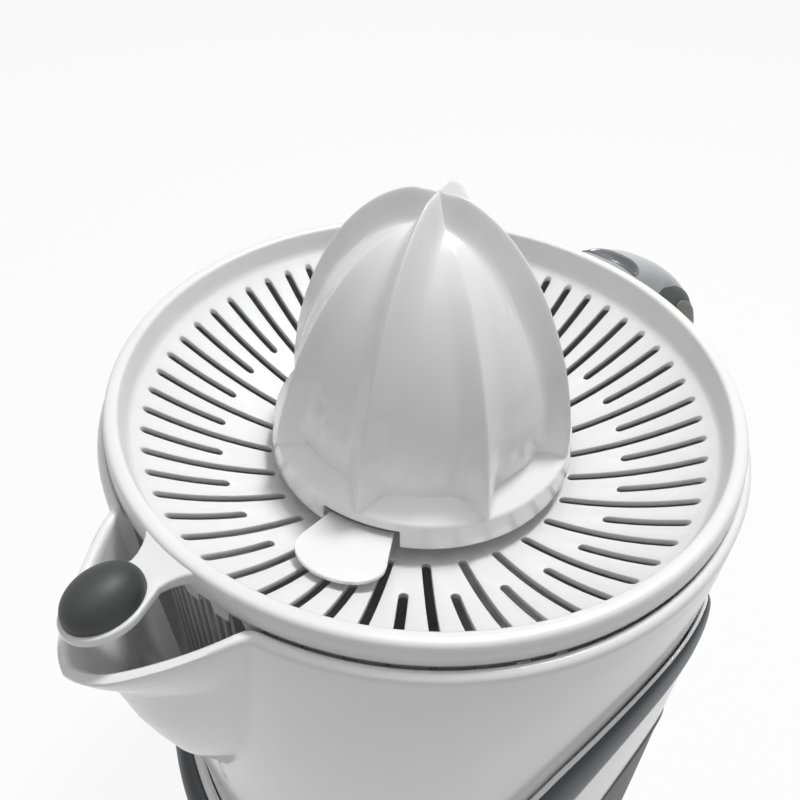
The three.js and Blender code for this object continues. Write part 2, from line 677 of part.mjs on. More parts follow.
// Finger tab of the small cone: it slopes up and ends in a broad curve.
function tab() {
  const reach = 53.6;
  const halfWidth = 10.2;
  const side = [[30, 6.5], [38, 8.2], [46, halfWidth]];
  const outline = side.map(([x, y]) => [x, -y]);
  for (let step = 1; step < 8; step++) {
    const a = -Math.PI / 2 + (Math.PI * step) / 8;
    outline.push([46 + (reach - 46) * Math.cos(a), halfWidth * Math.sin(a)]);
  }
  outline.push(...side.reverse());
  const root = 30;
  const topAt = (x) => -18.6 + (3.7 * (x - root)) / (reach - root);
  const rings = [-1.3, 0].map((drop) => outline.map(([x, y]) => new THREE.Vector3(x, y, topAt(x) + drop)));
  return spin(loft(rings), finTurn - 0.2);
}

const thrustRing = () => ring(9, 14.2, -23, -20.4, 16);

// ---- assembly -------------------------------------------------------------------------
const juicer = new THREE.Group();
juicer.position.y = axisShift;

// The tray and the reamer are modelled from the rim plane down and up.
const rimGroup = new THREE.Group();
rimGroup.position.z = rimHeight;
juicer.add(rimGroup);

function place(name, body, material, x = 0, y = 0, group = juicer) {
  const mesh = new THREE.Mesh(toGeometry(body), material);
  mesh.name = name;
  mesh.position.set(x, y, 0);
  group.add(mesh);
}

place("base_housing", baseHousing(), white);
place("base_trim_ring", trimRing(), chrome);
place("side_grip_right", sideGrip(1), darkGrey);
place("side_grip_left", sideGrip(-1), darkGrey);
place("base_bottom_plate", bottomPlate(), white);
footPlaces.forEach(([x, y], i) => place(`foot_${i + 1}`, foot(), rubber, x, y));
bossPlaces.forEach(([x, y], i) => place(`plate_screw_${i + 1}`, plateScrew(), zinc, x, y));
place("cord_inlet", cordInlet(), blackPlastic);

place("motor_can", motorCan(), zinc, ...motorAxis);
place("stator_coil", statorCoil(), copper, ...motorAxis);
place("motor_rotor", motorRotor(), ferrite, ...motorAxis);
place("motor_pinion", motorPinion(), steel, ...motorAxis);
place("gearbox_plate", gearboxPlate(), zinc);
place("gearbox_cover", gearboxCover(), nylon);
pillarPlaces.forEach(([x, y], i) => place(`gearbox_pillar_${i + 1}`, pillar(), brass, x, y));
place("layshaft_pin", layshaftPin(), steel, ...layshaft);
place("layshaft_gear", layshaftGear(), acetal, ...layshaft);
place("output_gear", outputGear(), acetal);
place("lower_bush", flangedBush(level.plate), brass);
place("upper_bush", flangedBush(level.cover), brass);
place("drive_shaft", driveShaft(), steel);
place("shaft_seal", shaftSeal(), rubber);
place("thrust_cup", thrustCup(), acetal);
place("return_spring", returnSpring(), steel);
place("spring_seat", springSeat(), nylon);
place("microswitch", microswitch(), blackPlastic);
place("switch_button", switchButton(), acetal);

place("jug_body", jugBody(), white);
place("jug_handle", jugHandle(), handleGrey);
place("handle_grip", handleGrip(), darkGrey);
place("handle_inlay", handleInlay(), chrome);

place("strainer_tray", strainerTray(), trayWhite, 0, 0, rimGroup);
place("thumb_pad", thumbPad(), padGrey, 0, 0, rimGroup);
place("thrust_ring", thrustRing(), acetal, 0, 0, rimGroup);
place("small_cone", smallCone(), white, 0, 0, rimGroup);
place("large_cone", largeCone(), white, 0, 0, rimGroup);

export default juicer;
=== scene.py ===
"""Citrus press juicer: the visible pieces of a motor base, a spouted jug, a slotted
strainer tray and a finned reamer, built in place on the jointed frame.

Shapes are written in millimetres about the drive axis, with the table at height 0 and
the spout towards -Y, and are scaled to metres when a piece is finished. A turn is an
angle about the drive axis from the spout's direction.
"""

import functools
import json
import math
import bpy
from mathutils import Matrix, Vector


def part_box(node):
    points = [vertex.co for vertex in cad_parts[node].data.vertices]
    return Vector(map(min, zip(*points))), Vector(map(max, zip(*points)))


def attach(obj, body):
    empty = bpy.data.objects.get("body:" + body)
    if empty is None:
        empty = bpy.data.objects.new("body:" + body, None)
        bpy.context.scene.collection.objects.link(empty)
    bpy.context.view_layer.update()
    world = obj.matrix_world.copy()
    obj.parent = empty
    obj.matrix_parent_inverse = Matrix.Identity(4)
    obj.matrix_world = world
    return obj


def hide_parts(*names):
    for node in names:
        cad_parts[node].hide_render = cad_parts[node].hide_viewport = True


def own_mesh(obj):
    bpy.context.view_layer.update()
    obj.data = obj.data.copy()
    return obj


bl_info = {
    "name": "Citrus Press Juicer",
    "version": (1, 0, 0),
    "blender": (4, 5, 0),
    "location": "View3D > Sidebar > Juicer",
    "description": "Builds the visible pieces of a citrus press juicer on its frame",
    "category": "Add Mesh",
}

import bmesh
import bpy
import numpy as np
from bpy.props import FloatProperty, FloatVectorProperty, IntProperty, PointerProperty
from mathutils import Matrix, Vector
from mathutils.geometry import interpolate_bezier

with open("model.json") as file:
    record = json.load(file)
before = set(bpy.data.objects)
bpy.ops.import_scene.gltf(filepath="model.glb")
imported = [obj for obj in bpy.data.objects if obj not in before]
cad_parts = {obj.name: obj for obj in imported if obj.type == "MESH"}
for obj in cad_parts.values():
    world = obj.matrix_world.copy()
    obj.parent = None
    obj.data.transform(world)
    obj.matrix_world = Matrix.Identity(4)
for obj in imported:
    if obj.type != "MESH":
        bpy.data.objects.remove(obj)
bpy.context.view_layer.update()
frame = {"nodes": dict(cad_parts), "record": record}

MM = 0.001
SEAL_LOW, SEAL_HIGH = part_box("shaft_seal")
AXIS_Y = (SEAL_LOW[1] + SEAL_HIGH[1]) / 2
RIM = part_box("strainer_tray")[1][2] / MM  # height of the tray's rim over the table


# ---- sizes and colours that a user may change -----------------------------------------
class JuicerSizes(bpy.types.PropertyGroup):
    """Sizes of the small details that the frame leaves open"""

    slot_width: FloatProperty(name="Slot Width", description="Width of the strainer's slots", default=0.00205,
                              min=0.001, max=0.003, unit="LENGTH")
    slot_edge: FloatProperty(name="Slot Edge", description="Rounding of the slots' edges", default=0.0002,
                             min=0.0, max=0.0004, unit="LENGTH")
    fin_flank: FloatProperty(name="Fin Flank", description="Half-width of a reamer fin at its foot", default=0.0052,
                             min=0.003, max=0.008, unit="LENGTH")
    pad_height: FloatProperty(name="Pad Height", description="Rise of the finger pad's dome", default=0.0061,
                              min=0.001, max=0.007, unit="LENGTH")
    trim_width: FloatProperty(name="Trim Width", description="Width of the band between jug and base", default=0.012,
                              min=0.008, max=0.013, unit="LENGTH")
    comb_ribs: IntProperty(name="Comb Ribs", description="Ribs of the comb in the spout's mouth", default=10,
                           min=6, max=12)


COLOUR = {"subtype": "COLOR", "size": 3, "min": 0, "max": 1}


class JuicerColours(bpy.types.PropertyGroup):
    """Colours of the mouldings"""

    white: FloatVectorProperty(name="White", description="Jug, base and reamer", default=(0.8, 0.8, 0.8), **COLOUR)
    tray: FloatVectorProperty(name="Tray", description="Strainer tray", default=(0.8, 0.8, 0.8), **COLOUR)
    handle: FloatVectorProperty(name="Handle", description="Handle moulding", default=(0.25, 0.257, 0.265), **COLOUR)
    trim: FloatVectorProperty(name="Trim", description="Band between jug and base", default=(0.028, 0.03, 0.038),
                              **COLOUR)
    grip: FloatVectorProperty(name="Grip", description="Soft grips", default=(0.05, 0.052, 0.052), **COLOUR)
    pad: FloatVectorProperty(name="Pad", description="Finger pad", default=(0.03, 0.031, 0.031), **COLOUR)
    # The inside's grey is painted shade: the jug's inner walls and comb are white, darkened for the shade they lie
    # in.
    inside: FloatVectorProperty(name="Inside", description="Inner walls of the jug and its comb",
                                default=(0.46, 0.46, 0.46), **COLOUR)


# ---- materials ------------------------------------------------------------------------
def node(tree, kind, **inputs):
    """Adds a shader node and sets its inputs."""
    made = tree.nodes.new(kind)
    for key, value in inputs.items():
        made.inputs[key.replace("_", " ")].default_value = value
    return made


def moulding(name, colour, roughness, spread=0.04, tint=0.03, grain=0.02, grain_size=900, coat=0.0, metallic=0.0,
             stretch=(1, 1, 1)):
    """Moulded or turned finish: broad flow in colour and gloss, and a fine surface grain."""
    if name in bpy.data.materials:
        return bpy.data.materials[name]
    made = bpy.data.materials.new(name)
    made.use_nodes = True
    made.diffuse_color = (*colour, 1)
    tree = made.node_tree
    link = tree.links.new
    shader = tree.nodes["Principled BSDF"]
    shader.inputs["Metallic"].default_value = metallic
    shader.inputs["Coat Weight"].default_value = coat
    shader.inputs["Coat Roughness"].default_value = 0.08

    mapping = node(tree, "ShaderNodeMapping", Scale=stretch)
    link(node(tree, "ShaderNodeTexCoord").outputs["Object"], mapping.inputs["Vector"])
    flow = node(tree, "ShaderNodeTexNoise", Scale=24, Detail=4, Roughness=0.55, Distortion=0.6)
    fine = node(tree, "ShaderNodeTexNoise", Scale=grain_size, Detail=3, Roughness=0.6)
    for texture in (flow, fine):
        link(mapping.outputs["Vector"], texture.inputs["Vector"])

    calm, lively = 0.3, 0.7  # where most of the flow's values lie
    ramp = node(tree, "ShaderNodeValToRGB")
    for stop, position, factor in zip(ramp.color_ramp.elements, (calm, lively), (1 - tint, 1 + tint)):
        stop.position = position
        stop.color = (*[min(1, part * factor) for part in colour], 1)
    link(flow.outputs["Fac"], ramp.inputs["Fac"])
    link(ramp.outputs["Color"], shader.inputs["Base Color"])
    gloss = node(tree, "ShaderNodeMapRange", From_Min=calm, From_Max=lively, To_Min=max(0.02, roughness - spread),
                 To_Max=roughness + spread)
    link(flow.outputs["Fac"], gloss.inputs["Value"])
    link(gloss.outputs["Result"], shader.inputs["Roughness"])
    bump = node(tree, "ShaderNodeBump", Strength=grain, Distance=0.0002)
    link(fine.outputs["Fac"], bump.inputs["Height"])
    link(bump.outputs["Normal"], shader.inputs["Normal"])
    return made


def finishes(context):
    """The juicer's finishes by the record's slot, under other names than those of the frame's own materials."""
    colours = context.scene.juicer_colours
    return {
        "white_gloss": moulding("white_moulding", colours.white, 0.24, coat=0.25),
        # Painted shade: the jug's inside and its comb are white like the jug, and this darker grey stands for the
        # shade in them.
        "inner_white": moulding("jug_inside_painted_shade", colours.inside, 0.4, grain=0.05, grain_size=1200),
        "tray_white": moulding("tray_moulding", colours.tray, 0.32, grain=0.05, grain_size=1400, coat=0.1),
        "handle_white": moulding("handle_moulding", colours.handle, 0.22, coat=0.3),
        "trim_grey": moulding("trim_moulding", colours.trim, 0.42, tint=0.06),
        "soft_grey": moulding("soft_grip", colours.grip, 0.5, grain=0.12, grain_size=1600, tint=0.08),
        "oval_grey": moulding("grip_oval", (0.18, 0.184, 0.176), 0.5, grain=0.2, grain_size=1600, tint=0.08),
        "pad_grey": moulding("finger_pad", colours.pad, 0.52, tint=0.06),
        "bright_inlay": moulding("polished_inlay", (0.15, 0.15, 0.156), 0.24, metallic=0.9, tint=0.05),
        "rubber_foot": moulding("foot_rubber", (0.02, 0.02, 0.02), 0.75, grain=0.3, grain_size=1200, tint=0.15),
        "inner_plastic": moulding("inner_moulding", (0.55, 0.55, 0.5), 0.5, grain=0.15, grain_size=1200),
        "gear_plastic": moulding("gear_moulding", (0.72, 0.69, 0.6), 0.42, grain=0.1, grain_size=1300),
        "steel": moulding("turned_steel", (0.5, 0.5, 0.51), 0.3, spread=0.1, metallic=1.0, stretch=(1, 1, 14)),
        "bearing_brass": moulding("turned_brass", (0.55, 0.36, 0.13), 0.32, spread=0.1, metallic=1.0,
                                  stretch=(1, 1, 10)),
        "zinc_steel": moulding("zinc_plate", (0.42, 0.43, 0.44), 0.42, spread=0.12, metallic=1.0, tint=0.12),
        "copper_winding": moulding("enamelled_winding", (0.42, 0.15, 0.06), 0.35, metallic=0.7, tint=0.25,
                                   stretch=(1, 1, 30)),
        "seal_rubber": moulding("soft_seal", (0.025, 0.025, 0.025), 0.6, grain=0.2, grain_size=1200, tint=0.15),
        "black_plastic": moulding("black_moulding", (0.012, 0.012, 0.013), 0.45, grain=0.2, grain_size=1200,
                                  tint=0.2),
    }


# ---- modelling helpers ----------------------------------------------------------------
MERGE = 0.003  # points of one surface that are nearer than this become one


def at(turn, radius, height):
    """Point at a turn in radians."""
    return Vector((radius * math.sin(turn), -radius * math.cos(turn), height))


def read_off(place, places, values):
    """Value of a table at a place between its entries."""
    return float(np.interp(place, places, values))


def steps(start, end, count):
    """Evenly spaced numbers from start to end."""
    return [start + (end - start) * i / (count - 1) for i in range(count)]


def swell(value, power):
    """Power of a value between -1 and 1 that keeps its sign: below 1 it makes an ellipse fuller."""
    return math.copysign(abs(value) ** power, value)


def smooth_max(a, b, blend):
    return max(a, b) + max(0.0, blend - abs(a - b)) ** 2 / (4 * blend)


def smooth_min(a, b, blend):
    return -smooth_max(-a, -b, blend)


def smoothed(values, window):
    """Row of values averaged over a window of entries, mirrored past both ends."""
    weights = np.hanning(window)
    return np.convolve(np.pad(values, window // 2, mode="reflect"), weights / weights.sum(), mode="valid")


def rounded(outline, segments=4):
    """Closed outline whose corners are rounded where a point gives a radius as its third value."""
    made = []
    for i, point in enumerate(outline):
        here = Vector(point[:2])
        if len(point) < 3:
            made.append(here)
            continue
        before = Vector(outline[i - 1][:2]) - here
        after = Vector(outline[(i + 1) % len(outline)][:2]) - here
        half = before.angle(after) / 2
        reach = min(point[2] / math.tan(half), before.length * 0.48, after.length * 0.48)
        start, end = here + before.normalized() * reach, here + after.normalized() * reach
        pull = 4 / 3 * math.tan((math.pi - 2 * half) / 4) * math.tan(half)
        made += interpolate_bezier(start, start.lerp(here, pull), end.lerp(here, pull), end, segments + 1)
    return [tuple(p[:2]) for p in made]


def revolve(outline, turns, bm):
    """Spins a closed outline of [radius, height] points round the drive axis."""
    verts = [bm.verts.new((r, 0, z)) for r, z in outline]
    edges = [bm.edges.new(pair) for pair in zip(verts, verts[1:] + verts[:1])]
    bmesh.ops.spin(bm, geom=verts + edges, cent=(0, 0, 0), axis=(0, 0, 1), steps=turns, angle=math.tau,
                   use_merge=True, use_duplicate=False)
    bmesh.ops.remove_doubles(bm, verts=bm.verts, dist=0.004)


def lay_grid(bm, columns, rows):
    """Adds a flat grid and gives the column and row of each of its points."""
    grid = bmesh.ops.create_grid(bm, x_segments=columns, y_segments=rows, size=1)["verts"]
    reach_x = max(v.co.x for v in grid)
    reach_y = max(v.co.y for v in grid)
    return {vert: (round((vert.co.x / reach_x + 1) / 2 * columns), round((vert.co.y / reach_y + 1) / 2 * rows))
            for vert in grid}


def close_holes(bm):
    bmesh.ops.holes_fill(bm, edges=[e for e in bm.edges if e.is_boundary], sides=0)


def turn_about_axis(bm, degrees):
    bmesh.ops.rotate(bm, cent=(0, 0, 0), matrix=Matrix.Rotation(math.radians(degrees), 3, "Z"), verts=bm.verts)


def skin(columns, rows, place, closed=False):
    """Lays a grid of columns round and rows along on the surface that place(column, row) gives.

    Its ends are closed with flat faces, or joined to each other if the rows close a cross-section.
    """
    bm = bmesh.new()
    for vert, (column, row) in lay_grid(bm, columns, rows).items():
        vert.co = place(column % columns, row % rows if closed else row)
    bmesh.ops.remove_doubles(bm, verts=bm.verts, dist=MERGE)
    if not closed:
        close_holes(bm)
    return bm


def slab(outline, low, high, edge):
    """Extrudes a flat outline of [x, y] points from low to high and rounds its edges."""
    bm = bmesh.new()
    face = bm.faces.new([bm.verts.new((x, y, low)) for x, y in outline])
    made = bmesh.ops.extrude_face_region(bm, geom=[face])["geom"]
    top = [g for g in made if isinstance(g, bmesh.types.BMVert)]
    bmesh.ops.translate(bm, vec=(0, 0, high - low), verts=top)
    flat = [e for e in bm.edges if abs(e.verts[0].co.z - e.verts[1].co.z) < 1e-6]
    bmesh.ops.bevel(bm, geom=flat, offset=edge, offset_type="OFFSET", segments=3, profile=0.5, affect="EDGES",
                    clamp_overlap=True, material=-1)
    return bm


def as_mesh(bm, name):
    mesh = bpy.data.meshes.new(name)
    bm.to_mesh(mesh)
    bm.free()
    return mesh


def add_object(name, data):
    made = bpy.data.objects.new(name, data)
    bpy.context.scene.collection.objects.link(made)
    return made


def cut_out(bm, tool):
    """Subtracts a tool mesh from a mesh, in place."""
    pair = []
    for name, source in (("cut_body", bm), ("cut_tool", tool)):
        bmesh.ops.recalc_face_normals(source, faces=source.faces)
        mesh = bpy.data.meshes.new(name)
        source.to_mesh(mesh)
        pair.append(add_object(name, mesh))
    body, cutter = pair
    step = body.modifiers.new("cut", "BOOLEAN")
    step.object = cutter
    step.operation = "DIFFERENCE"
    step.solver = "EXACT"
    result = bpy.data.meshes.new_from_object(body.evaluated_get(bpy.context.evaluated_depsgraph_get()))
    bm.clear()
    bm.from_mesh(result)
    tool.free()
    for made in pair:
        old = made.data
        bpy.data.objects.remove(made)
        bpy.data.meshes.remove(old)
    bpy.data.meshes.remove(result)


def carry(name, mesh, body, material, stands_for=()):
    """Makes a mesh in metres a piece that rides on a body and stands for nodes of the frame."""
    mesh.materials.append(material)
    piece = add_object(name, mesh)
    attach(piece, body)
    if stands_for:
        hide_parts(*stands_for)
    return piece


def finish_piece(bm, name, body, material, stands_for=(), crease=42):
    """Turns a mesh in millimetres about the axis into a smooth piece, sharp where it bends more than the crease."""
    bmesh.ops.recalc_face_normals(bm, faces=bm.faces)
    bmesh.ops.scale(bm, vec=(MM, MM, MM), verts=bm.verts)
    bmesh.ops.translate(bm, vec=(0, AXIS_Y, 0), verts=bm.verts)
    for face in bm.faces:
        face.smooth = True
    for edge in bm.edges:
        edge.smooth = edge.calc_face_angle(0) < math.radians(crease)
    return carry(name, as_mesh(bm, name), body, material, stands_for)


# ---- walls of jug and base ------------------------------------------------------------
WALL_HEIGHTS = [31, 120, 162, 175, 184]
WALL_RADII = [72.8, 74.9, 75.75, 75.8, 75.6]
BASE_FOOT = 5.5
BASE_HEIGHTS = [BASE_FOOT, 100, 157.5]
BASE_RADII = [83, 79.4, 77.9]
JUG_GAP = 0.45  # clearance round the jug in the base
WELL_FLOOR, FOOT_BORE = 30, 80.2  # height of the floor under the jug, and the base's inner radius below it

# Parting line between jug and base by the angle from the sides towards front and back.
PARTING_TURNS = [0, 6, 9, 11, 13, 14.5, 16.6, 18, 20, 22, 24, 25.5, 32, 40, 50, 60, 71, 80, 90]
PARTING_HEIGHTS = [157.5, 156.8, 155.8, 154.6, 152.7, 151, 148.6, 146.4, 143, 139.3, 135.3, 132, 113, 90, 65, 49,
                   41.5, 40, 39.5]
PARTING_RADIUS = 78
RADIAN = 57.3  # in degrees
SIDE_TURNS = np.linspace(0, 90, 181)
PARTING_LINE = smoothed(np.interp(SIDE_TURNS, PARTING_TURNS, PARTING_HEIGHTS), 15)
# How much more than its width a strip along the sloping line measures upright.
PARTING_STRETCH = smoothed(np.hypot(1, np.gradient(PARTING_LINE, SIDE_TURNS) * RADIAN / PARTING_RADIUS), 51)


def jug_radius(z):
    return read_off(z, WALL_HEIGHTS, WALL_RADII)


def base_radius(z):
    return read_off(z, BASE_HEIGHTS, BASE_RADII)


def below_parting(turn, width):
    """Height at which a strip of a width under the parting line ends, at a turn in radians."""
    from_side = math.degrees(abs(math.asin(max(-1, min(1, math.cos(turn))))))
    return read_off(from_side, SIDE_TURNS, PARTING_LINE) - width * read_off(from_side, SIDE_TURNS, PARTING_STRETCH)


# ---- base -----------------------------------------------------------------------------
# Deck under the jug and the motor tower on it, as [radius, height, rounding].
DECK_OUTLINE = [
    (80, 19), (69.9, 19, 0.8), (69.9, 27.6, 0.5), (55.6, 27.6), (54, 73, 0.6), (47.4, 79.4), (7.7, 79.4),
    (7.7, 85, 0.5), (13, 85, 0.9), (14, 82, 1), (48, 82, 6), (56, 74, 5), (58, 30, 2), (70.4, 30, 0.6),
    (72.9, 20.6, 1), (80, 20.6),
]
# Cross-section of the band as [share of its width from the parting line, fullness from inner to outer face].
BAND_SECTION = [
    (0.1, 0.35), (0.045, 0.35), (0.03, 0.42), (0.045, 0.54), (0.1, 0.7), (0.18, 0.81), (0.3, 0.91), (0.45, 0.98),
    (0.6, 1.0), (0.76, 1.0), (0.9, 0.95), (0.97, 0.87), (1.0, 0.77), (0.99, 0.35),
]


class JUICER_OT_base(bpy.types.Operator):
    """Builds the housing with its raised sides, the motor tower and the trim band"""

    bl_idname = "juicer.base"
    bl_label = "Base"

    def execute(self, context):
        made = finishes(context)
        width = context.scene.juicer_sizes.trim_width / MM
        seat = width + 0.15
        columns, outer_rows, inner_rows = 240, 16, 16
        turns = [math.tau * i / columns for i in range(columns)]
        tops = [below_parting(turn, seat) for turn in turns]
        lip = [(seat, 0.34), (0.4, 0.34), (0.1, 0.27), (0, 0.15), (0.04, 0.05), (0.3, 0)]

        def wall(column, row):
            turn, top = turns[column], tops[column]
            if row <= outer_rows:
                z = BASE_FOOT + (top - BASE_FOOT) * row / outer_rows
                corner = 1.2 if row == 0 else 0
                return at(turn, base_radius(z) - corner, z)
            row -= outer_rows + 1
            if row < len(lip):
                down, share = lip[row]
                z = below_parting(turn, down)
                return at(turn, jug_radius(z) + JUG_GAP + (base_radius(z) - jug_radius(z) + 0.05) * share, z)
            z = top - (top - BASE_FOOT) * (row - len(lip)) / inner_rows
            inner = jug_radius(z) + JUG_GAP if z > WELL_FLOOR else FOOT_BORE
            return at(turn, min(inner, base_radius(z) - 2), z)

        shell = skin(columns, outer_rows + len(lip) + inner_rows + 2, wall, closed=True)
        revolve(rounded(DECK_OUTLINE), 144, shell)
        finish_piece(shell, "base_shell", "base", made["white_gloss"], ["base_housing"])

        def band(column, row):
            share, fullness = BAND_SECTION[row]
            z = below_parting(turns[column], width * share)
            inner, outer = jug_radius(z) + JUG_GAP, base_radius(z) + 0.5
            return at(turns[column], inner + (outer - inner) * fullness, z)

        trim = skin(columns, len(BAND_SECTION), band, closed=True)
        finish_piece(trim, "trim_band", "base", made["trim_grey"], ["base_trim_ring"])
        return {"FINISHED"}


def grip_arch(share):
    """Outline of a side grip as [sideways, height], shrunk towards its middle to a share of its size."""
    points = []
    for a in steps(0, math.pi, 49):
        points.append((30 * math.cos(a) * (1 - 0.12 * math.sin(a)), 44 + 73.8 * math.sin(a)))
    corner = [(30, 37), (29.9, 30), (29.2, 26.8), (27.6, 25), (25, 24.4)]
    points += [(-x, z) for x, z in corner]
    points += [(x, corner[-1][1]) for x in steps(-25, 25, 10)[1:-1]]
    points += reversed(corner)
    middle = Vector((0, 62))
    return [middle + (Vector(p) - middle) * share for p in points]


class JUICER_OT_side_grips(bpy.types.Operator):
    """Builds the arched soft panels let into both sides of the base"""

    bl_idname = "juicer.side_grips"
    bl_label = "Side Grips"

    def execute(self, context):
        made = finishes(context)
        rings = [(1.0, -1.0), (1.0, 0.05), (0.99, 0.3), (0.965, 0.42), (0.92, 0.36), (0.9, 0.15), (0.885, 0.2),
                 (0.65, 0.4), (0.4, 0.45), (0.2, 0.5), (0.04, 0.5)]
        arches = [(grip_arch(share), proud) for share, proud in rings]
        for side, name in ((1, "right"), (-1, "left")):

            def panel(column, row, side=side):
                arch, proud = arches[row]
                across, z = arch[column]
                return Vector((side * math.sqrt((base_radius(z) + proud) ** 2 - across ** 2), across, z))

            pad = skin(len(arches[0][0]), len(rings) - 1, panel)
            finish_piece(pad, f"side_panel_{name}", "base", made["soft_grey"], [f"side_grip_{name}"])
        return {"FINISHED"}


class JUICER_OT_inner_works(bpy.types.Operator):
    """Gives plate, feet, screws, motor, gears, shaft and switch their finishes, and remakes the spring as a steel
    piece on the base
    """

    bl_idname = "juicer.inner_works"
    bl_label = "Inner Works"

    def execute(self, context):
        made = finishes(context)
        replaced = ("base_housing", "base_trim_ring", "side_grip_right", "side_grip_left", "jug_body", "jug_handle",
                    "handle_grip", "handle_inlay", "strainer_tray", "thumb_pad", "small_cone", "large_cone",
                    "return_spring")
        for part in frame["record"]["subparts"]:
            if part["node"] not in replaced:
                materials = frame["nodes"][part["node"]].data.materials
                materials.clear()
                materials.append(made[part["material_slot"]])

        coil = bmesh.new()
        coil.from_mesh(frame["nodes"]["return_spring"].data)
        bmesh.ops.remove_doubles(coil, verts=coil.verts, dist=1e-6)
        spring = carry("shaft_spring", as_mesh(coil, "shaft_spring"), "base", made["steel"],
                       ["return_spring"])
        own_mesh(spring)
        return {"FINISHED"}


# ---- jug ------------------------------------------------------------------------------
KEEL_HEIGHTS = [103, 107.3, 113.2, 125.2, 136.8, 148.4, 160.7, 166.1, 169.6, 174.5, 178.3, 183.8]
KEEL_RADII = [75.0, 75.7, 78.1, 82.9, 85.8, 88.2, 89.8, 90.7, 92.7, 95.6, 97.3, 97.3]
MOUTH_HEIGHTS = [104, 107, 110.5, 117, 124, 132, 153.5, 168, 183.8]
MOUTH_TURNS = [1, 2.4, 3.9, 6.4, 8.7, 10.7, 13.3, 14.8, 16.4]
JUG_RIM = 183.8
LIP_DROP = 5.5  # of the spout's tip under the rim
SPOUT_ROOT, SPOUT_REACH = 75.5, 21.8  # where the rim begins to drop, and how far it goes on from there
JUG_BORE = 72.9  # inner radius of the jug under its rim
SPOUT_WALL = 2.2
LIP_START = 164  # height over which the wall bends down with the lip
CHANNEL_TURNS = np.linspace(-24, 24, 193)
# Jug's floor, the tube round the shaft and the skirt under the floor, as [radius, height].
JUG_FLOOR = [
    (70.6, 93.5), (69, 92.2), (66, 92), (14, 92), (12.4, 92.4), (12, 94), (12, 161.6), (11.4, 162.4), (10.2, 162.4),
    (9.6, 161.8), (9.6, 89.4), (70.0, 89.4), (70.3, 31.3), (72.3, 31),
]
COMB_PITCH = 1.9  # degrees from rib to rib
SHADED_INSIDE_RADIUS, SHADED_INSIDE_HEIGHT = 73.4, 91.9  # faces of the jug inside this and above it are its inside, coloured grey as painted shade


def spout_outer(turn, z):
    """Outer radius of the jug with its spout, at a turn in degrees."""
    body = jug_radius(z)
    if z < 100:
        return body
    keel = read_off(z, KEEL_HEIGHTS, KEEL_RADII)
    share = 1.16 * (1 - abs(turn) / read_off(z, MOUTH_HEIGHTS, MOUTH_TURNS))
    return smooth_max(body, body + (keel - body) * smooth_min(share, 1, 0.25), 0.5)


@functools.lru_cache(maxsize=None)
def channel_line(z):
    """Inner face of the spout's wall at a height, as angles and radii."""
    turns = np.radians(CHANNEL_TURNS)
    outer = np.array([spout_outer(float(turn), z) for turn in CHANNEL_TURNS])
    across, out = outer * np.sin(turns), outer * np.cos(turns)
    step_across, step_out = np.gradient(across), np.gradient(out)
    length = np.hypot(step_across, step_out)
    across, out = across + SPOUT_WALL * step_out / length, out - SPOUT_WALL * step_across / length
    return np.degrees(np.arctan2(across, out)), np.hypot(across, out)


def spout_inner(turn, z):
    """Inner radius of the spout's channel, at a turn in degrees."""
    if z < 105:
        return JUG_BORE
    return max(JUG_BORE, min(read_off(turn, *channel_line(z)), spout_outer(turn, z) - 1.6))


def lip_height(turn):
    """Height of the jug's rim, which drops towards the spout's tip."""
    reach = spout_outer(turn, 180) * math.cos(math.radians(turn))
    return JUG_RIM - LIP_DROP * max(0.0, min(1.0, (reach - SPOUT_ROOT) / SPOUT_REACH))


def under_lip(turn, z):
    """Height squeezed so that the rim's plane becomes the lip."""
    if z < LIP_START:
        return z
    return LIP_START + (z - LIP_START) * (lip_height(turn) - LIP_START) / (JUG_RIM - LIP_START)


def sill_height(turn):
    """Height at which the spout's channel meets the jug's wall."""
    for z in np.linspace(104, JUG_RIM - 0.5, 120):
        if spout_inner(turn, float(z)) > 75.3:
            return float(z)
    return JUG_RIM - 0.5


def jug_line(degree):
    """Points of the jug's wall at a turn from 0 to 360 degrees: up the outside, over the lip and down the inside."""
    turn = degree if degree < 180 else degree - 360
    outside = [*np.linspace(31.6, 100, 12), *np.linspace(103, LIP_START, 22), *np.linspace(166, 182.6, 13)]
    points = []
    for z in outside:
        z = under_lip(turn, z)
        points.append((spout_outer(turn, z), z))
    for inset, z in ((-0.35, 183.45), (-1.1, JUG_RIM)):
        points.append((spout_outer(turn, JUG_RIM) + inset, under_lip(turn, z)))
    points.append((spout_inner(turn, JUG_RIM) + 0.5, lip_height(turn)))
    top, sill = lip_height(turn) - 0.5, sill_height(turn)
    for z in steps(top, min(sill, top), 16):
        points.append((spout_inner(turn, round(z, 2)), z))
    for z in steps(min(sill, 181), 95, 12):
        points.append((JUG_BORE if z > 165 else read_off(z, [95, 165], [71.5, JUG_BORE]), z))
    return [at(math.radians(degree), r, z) for r, z in points + JUG_FLOOR]


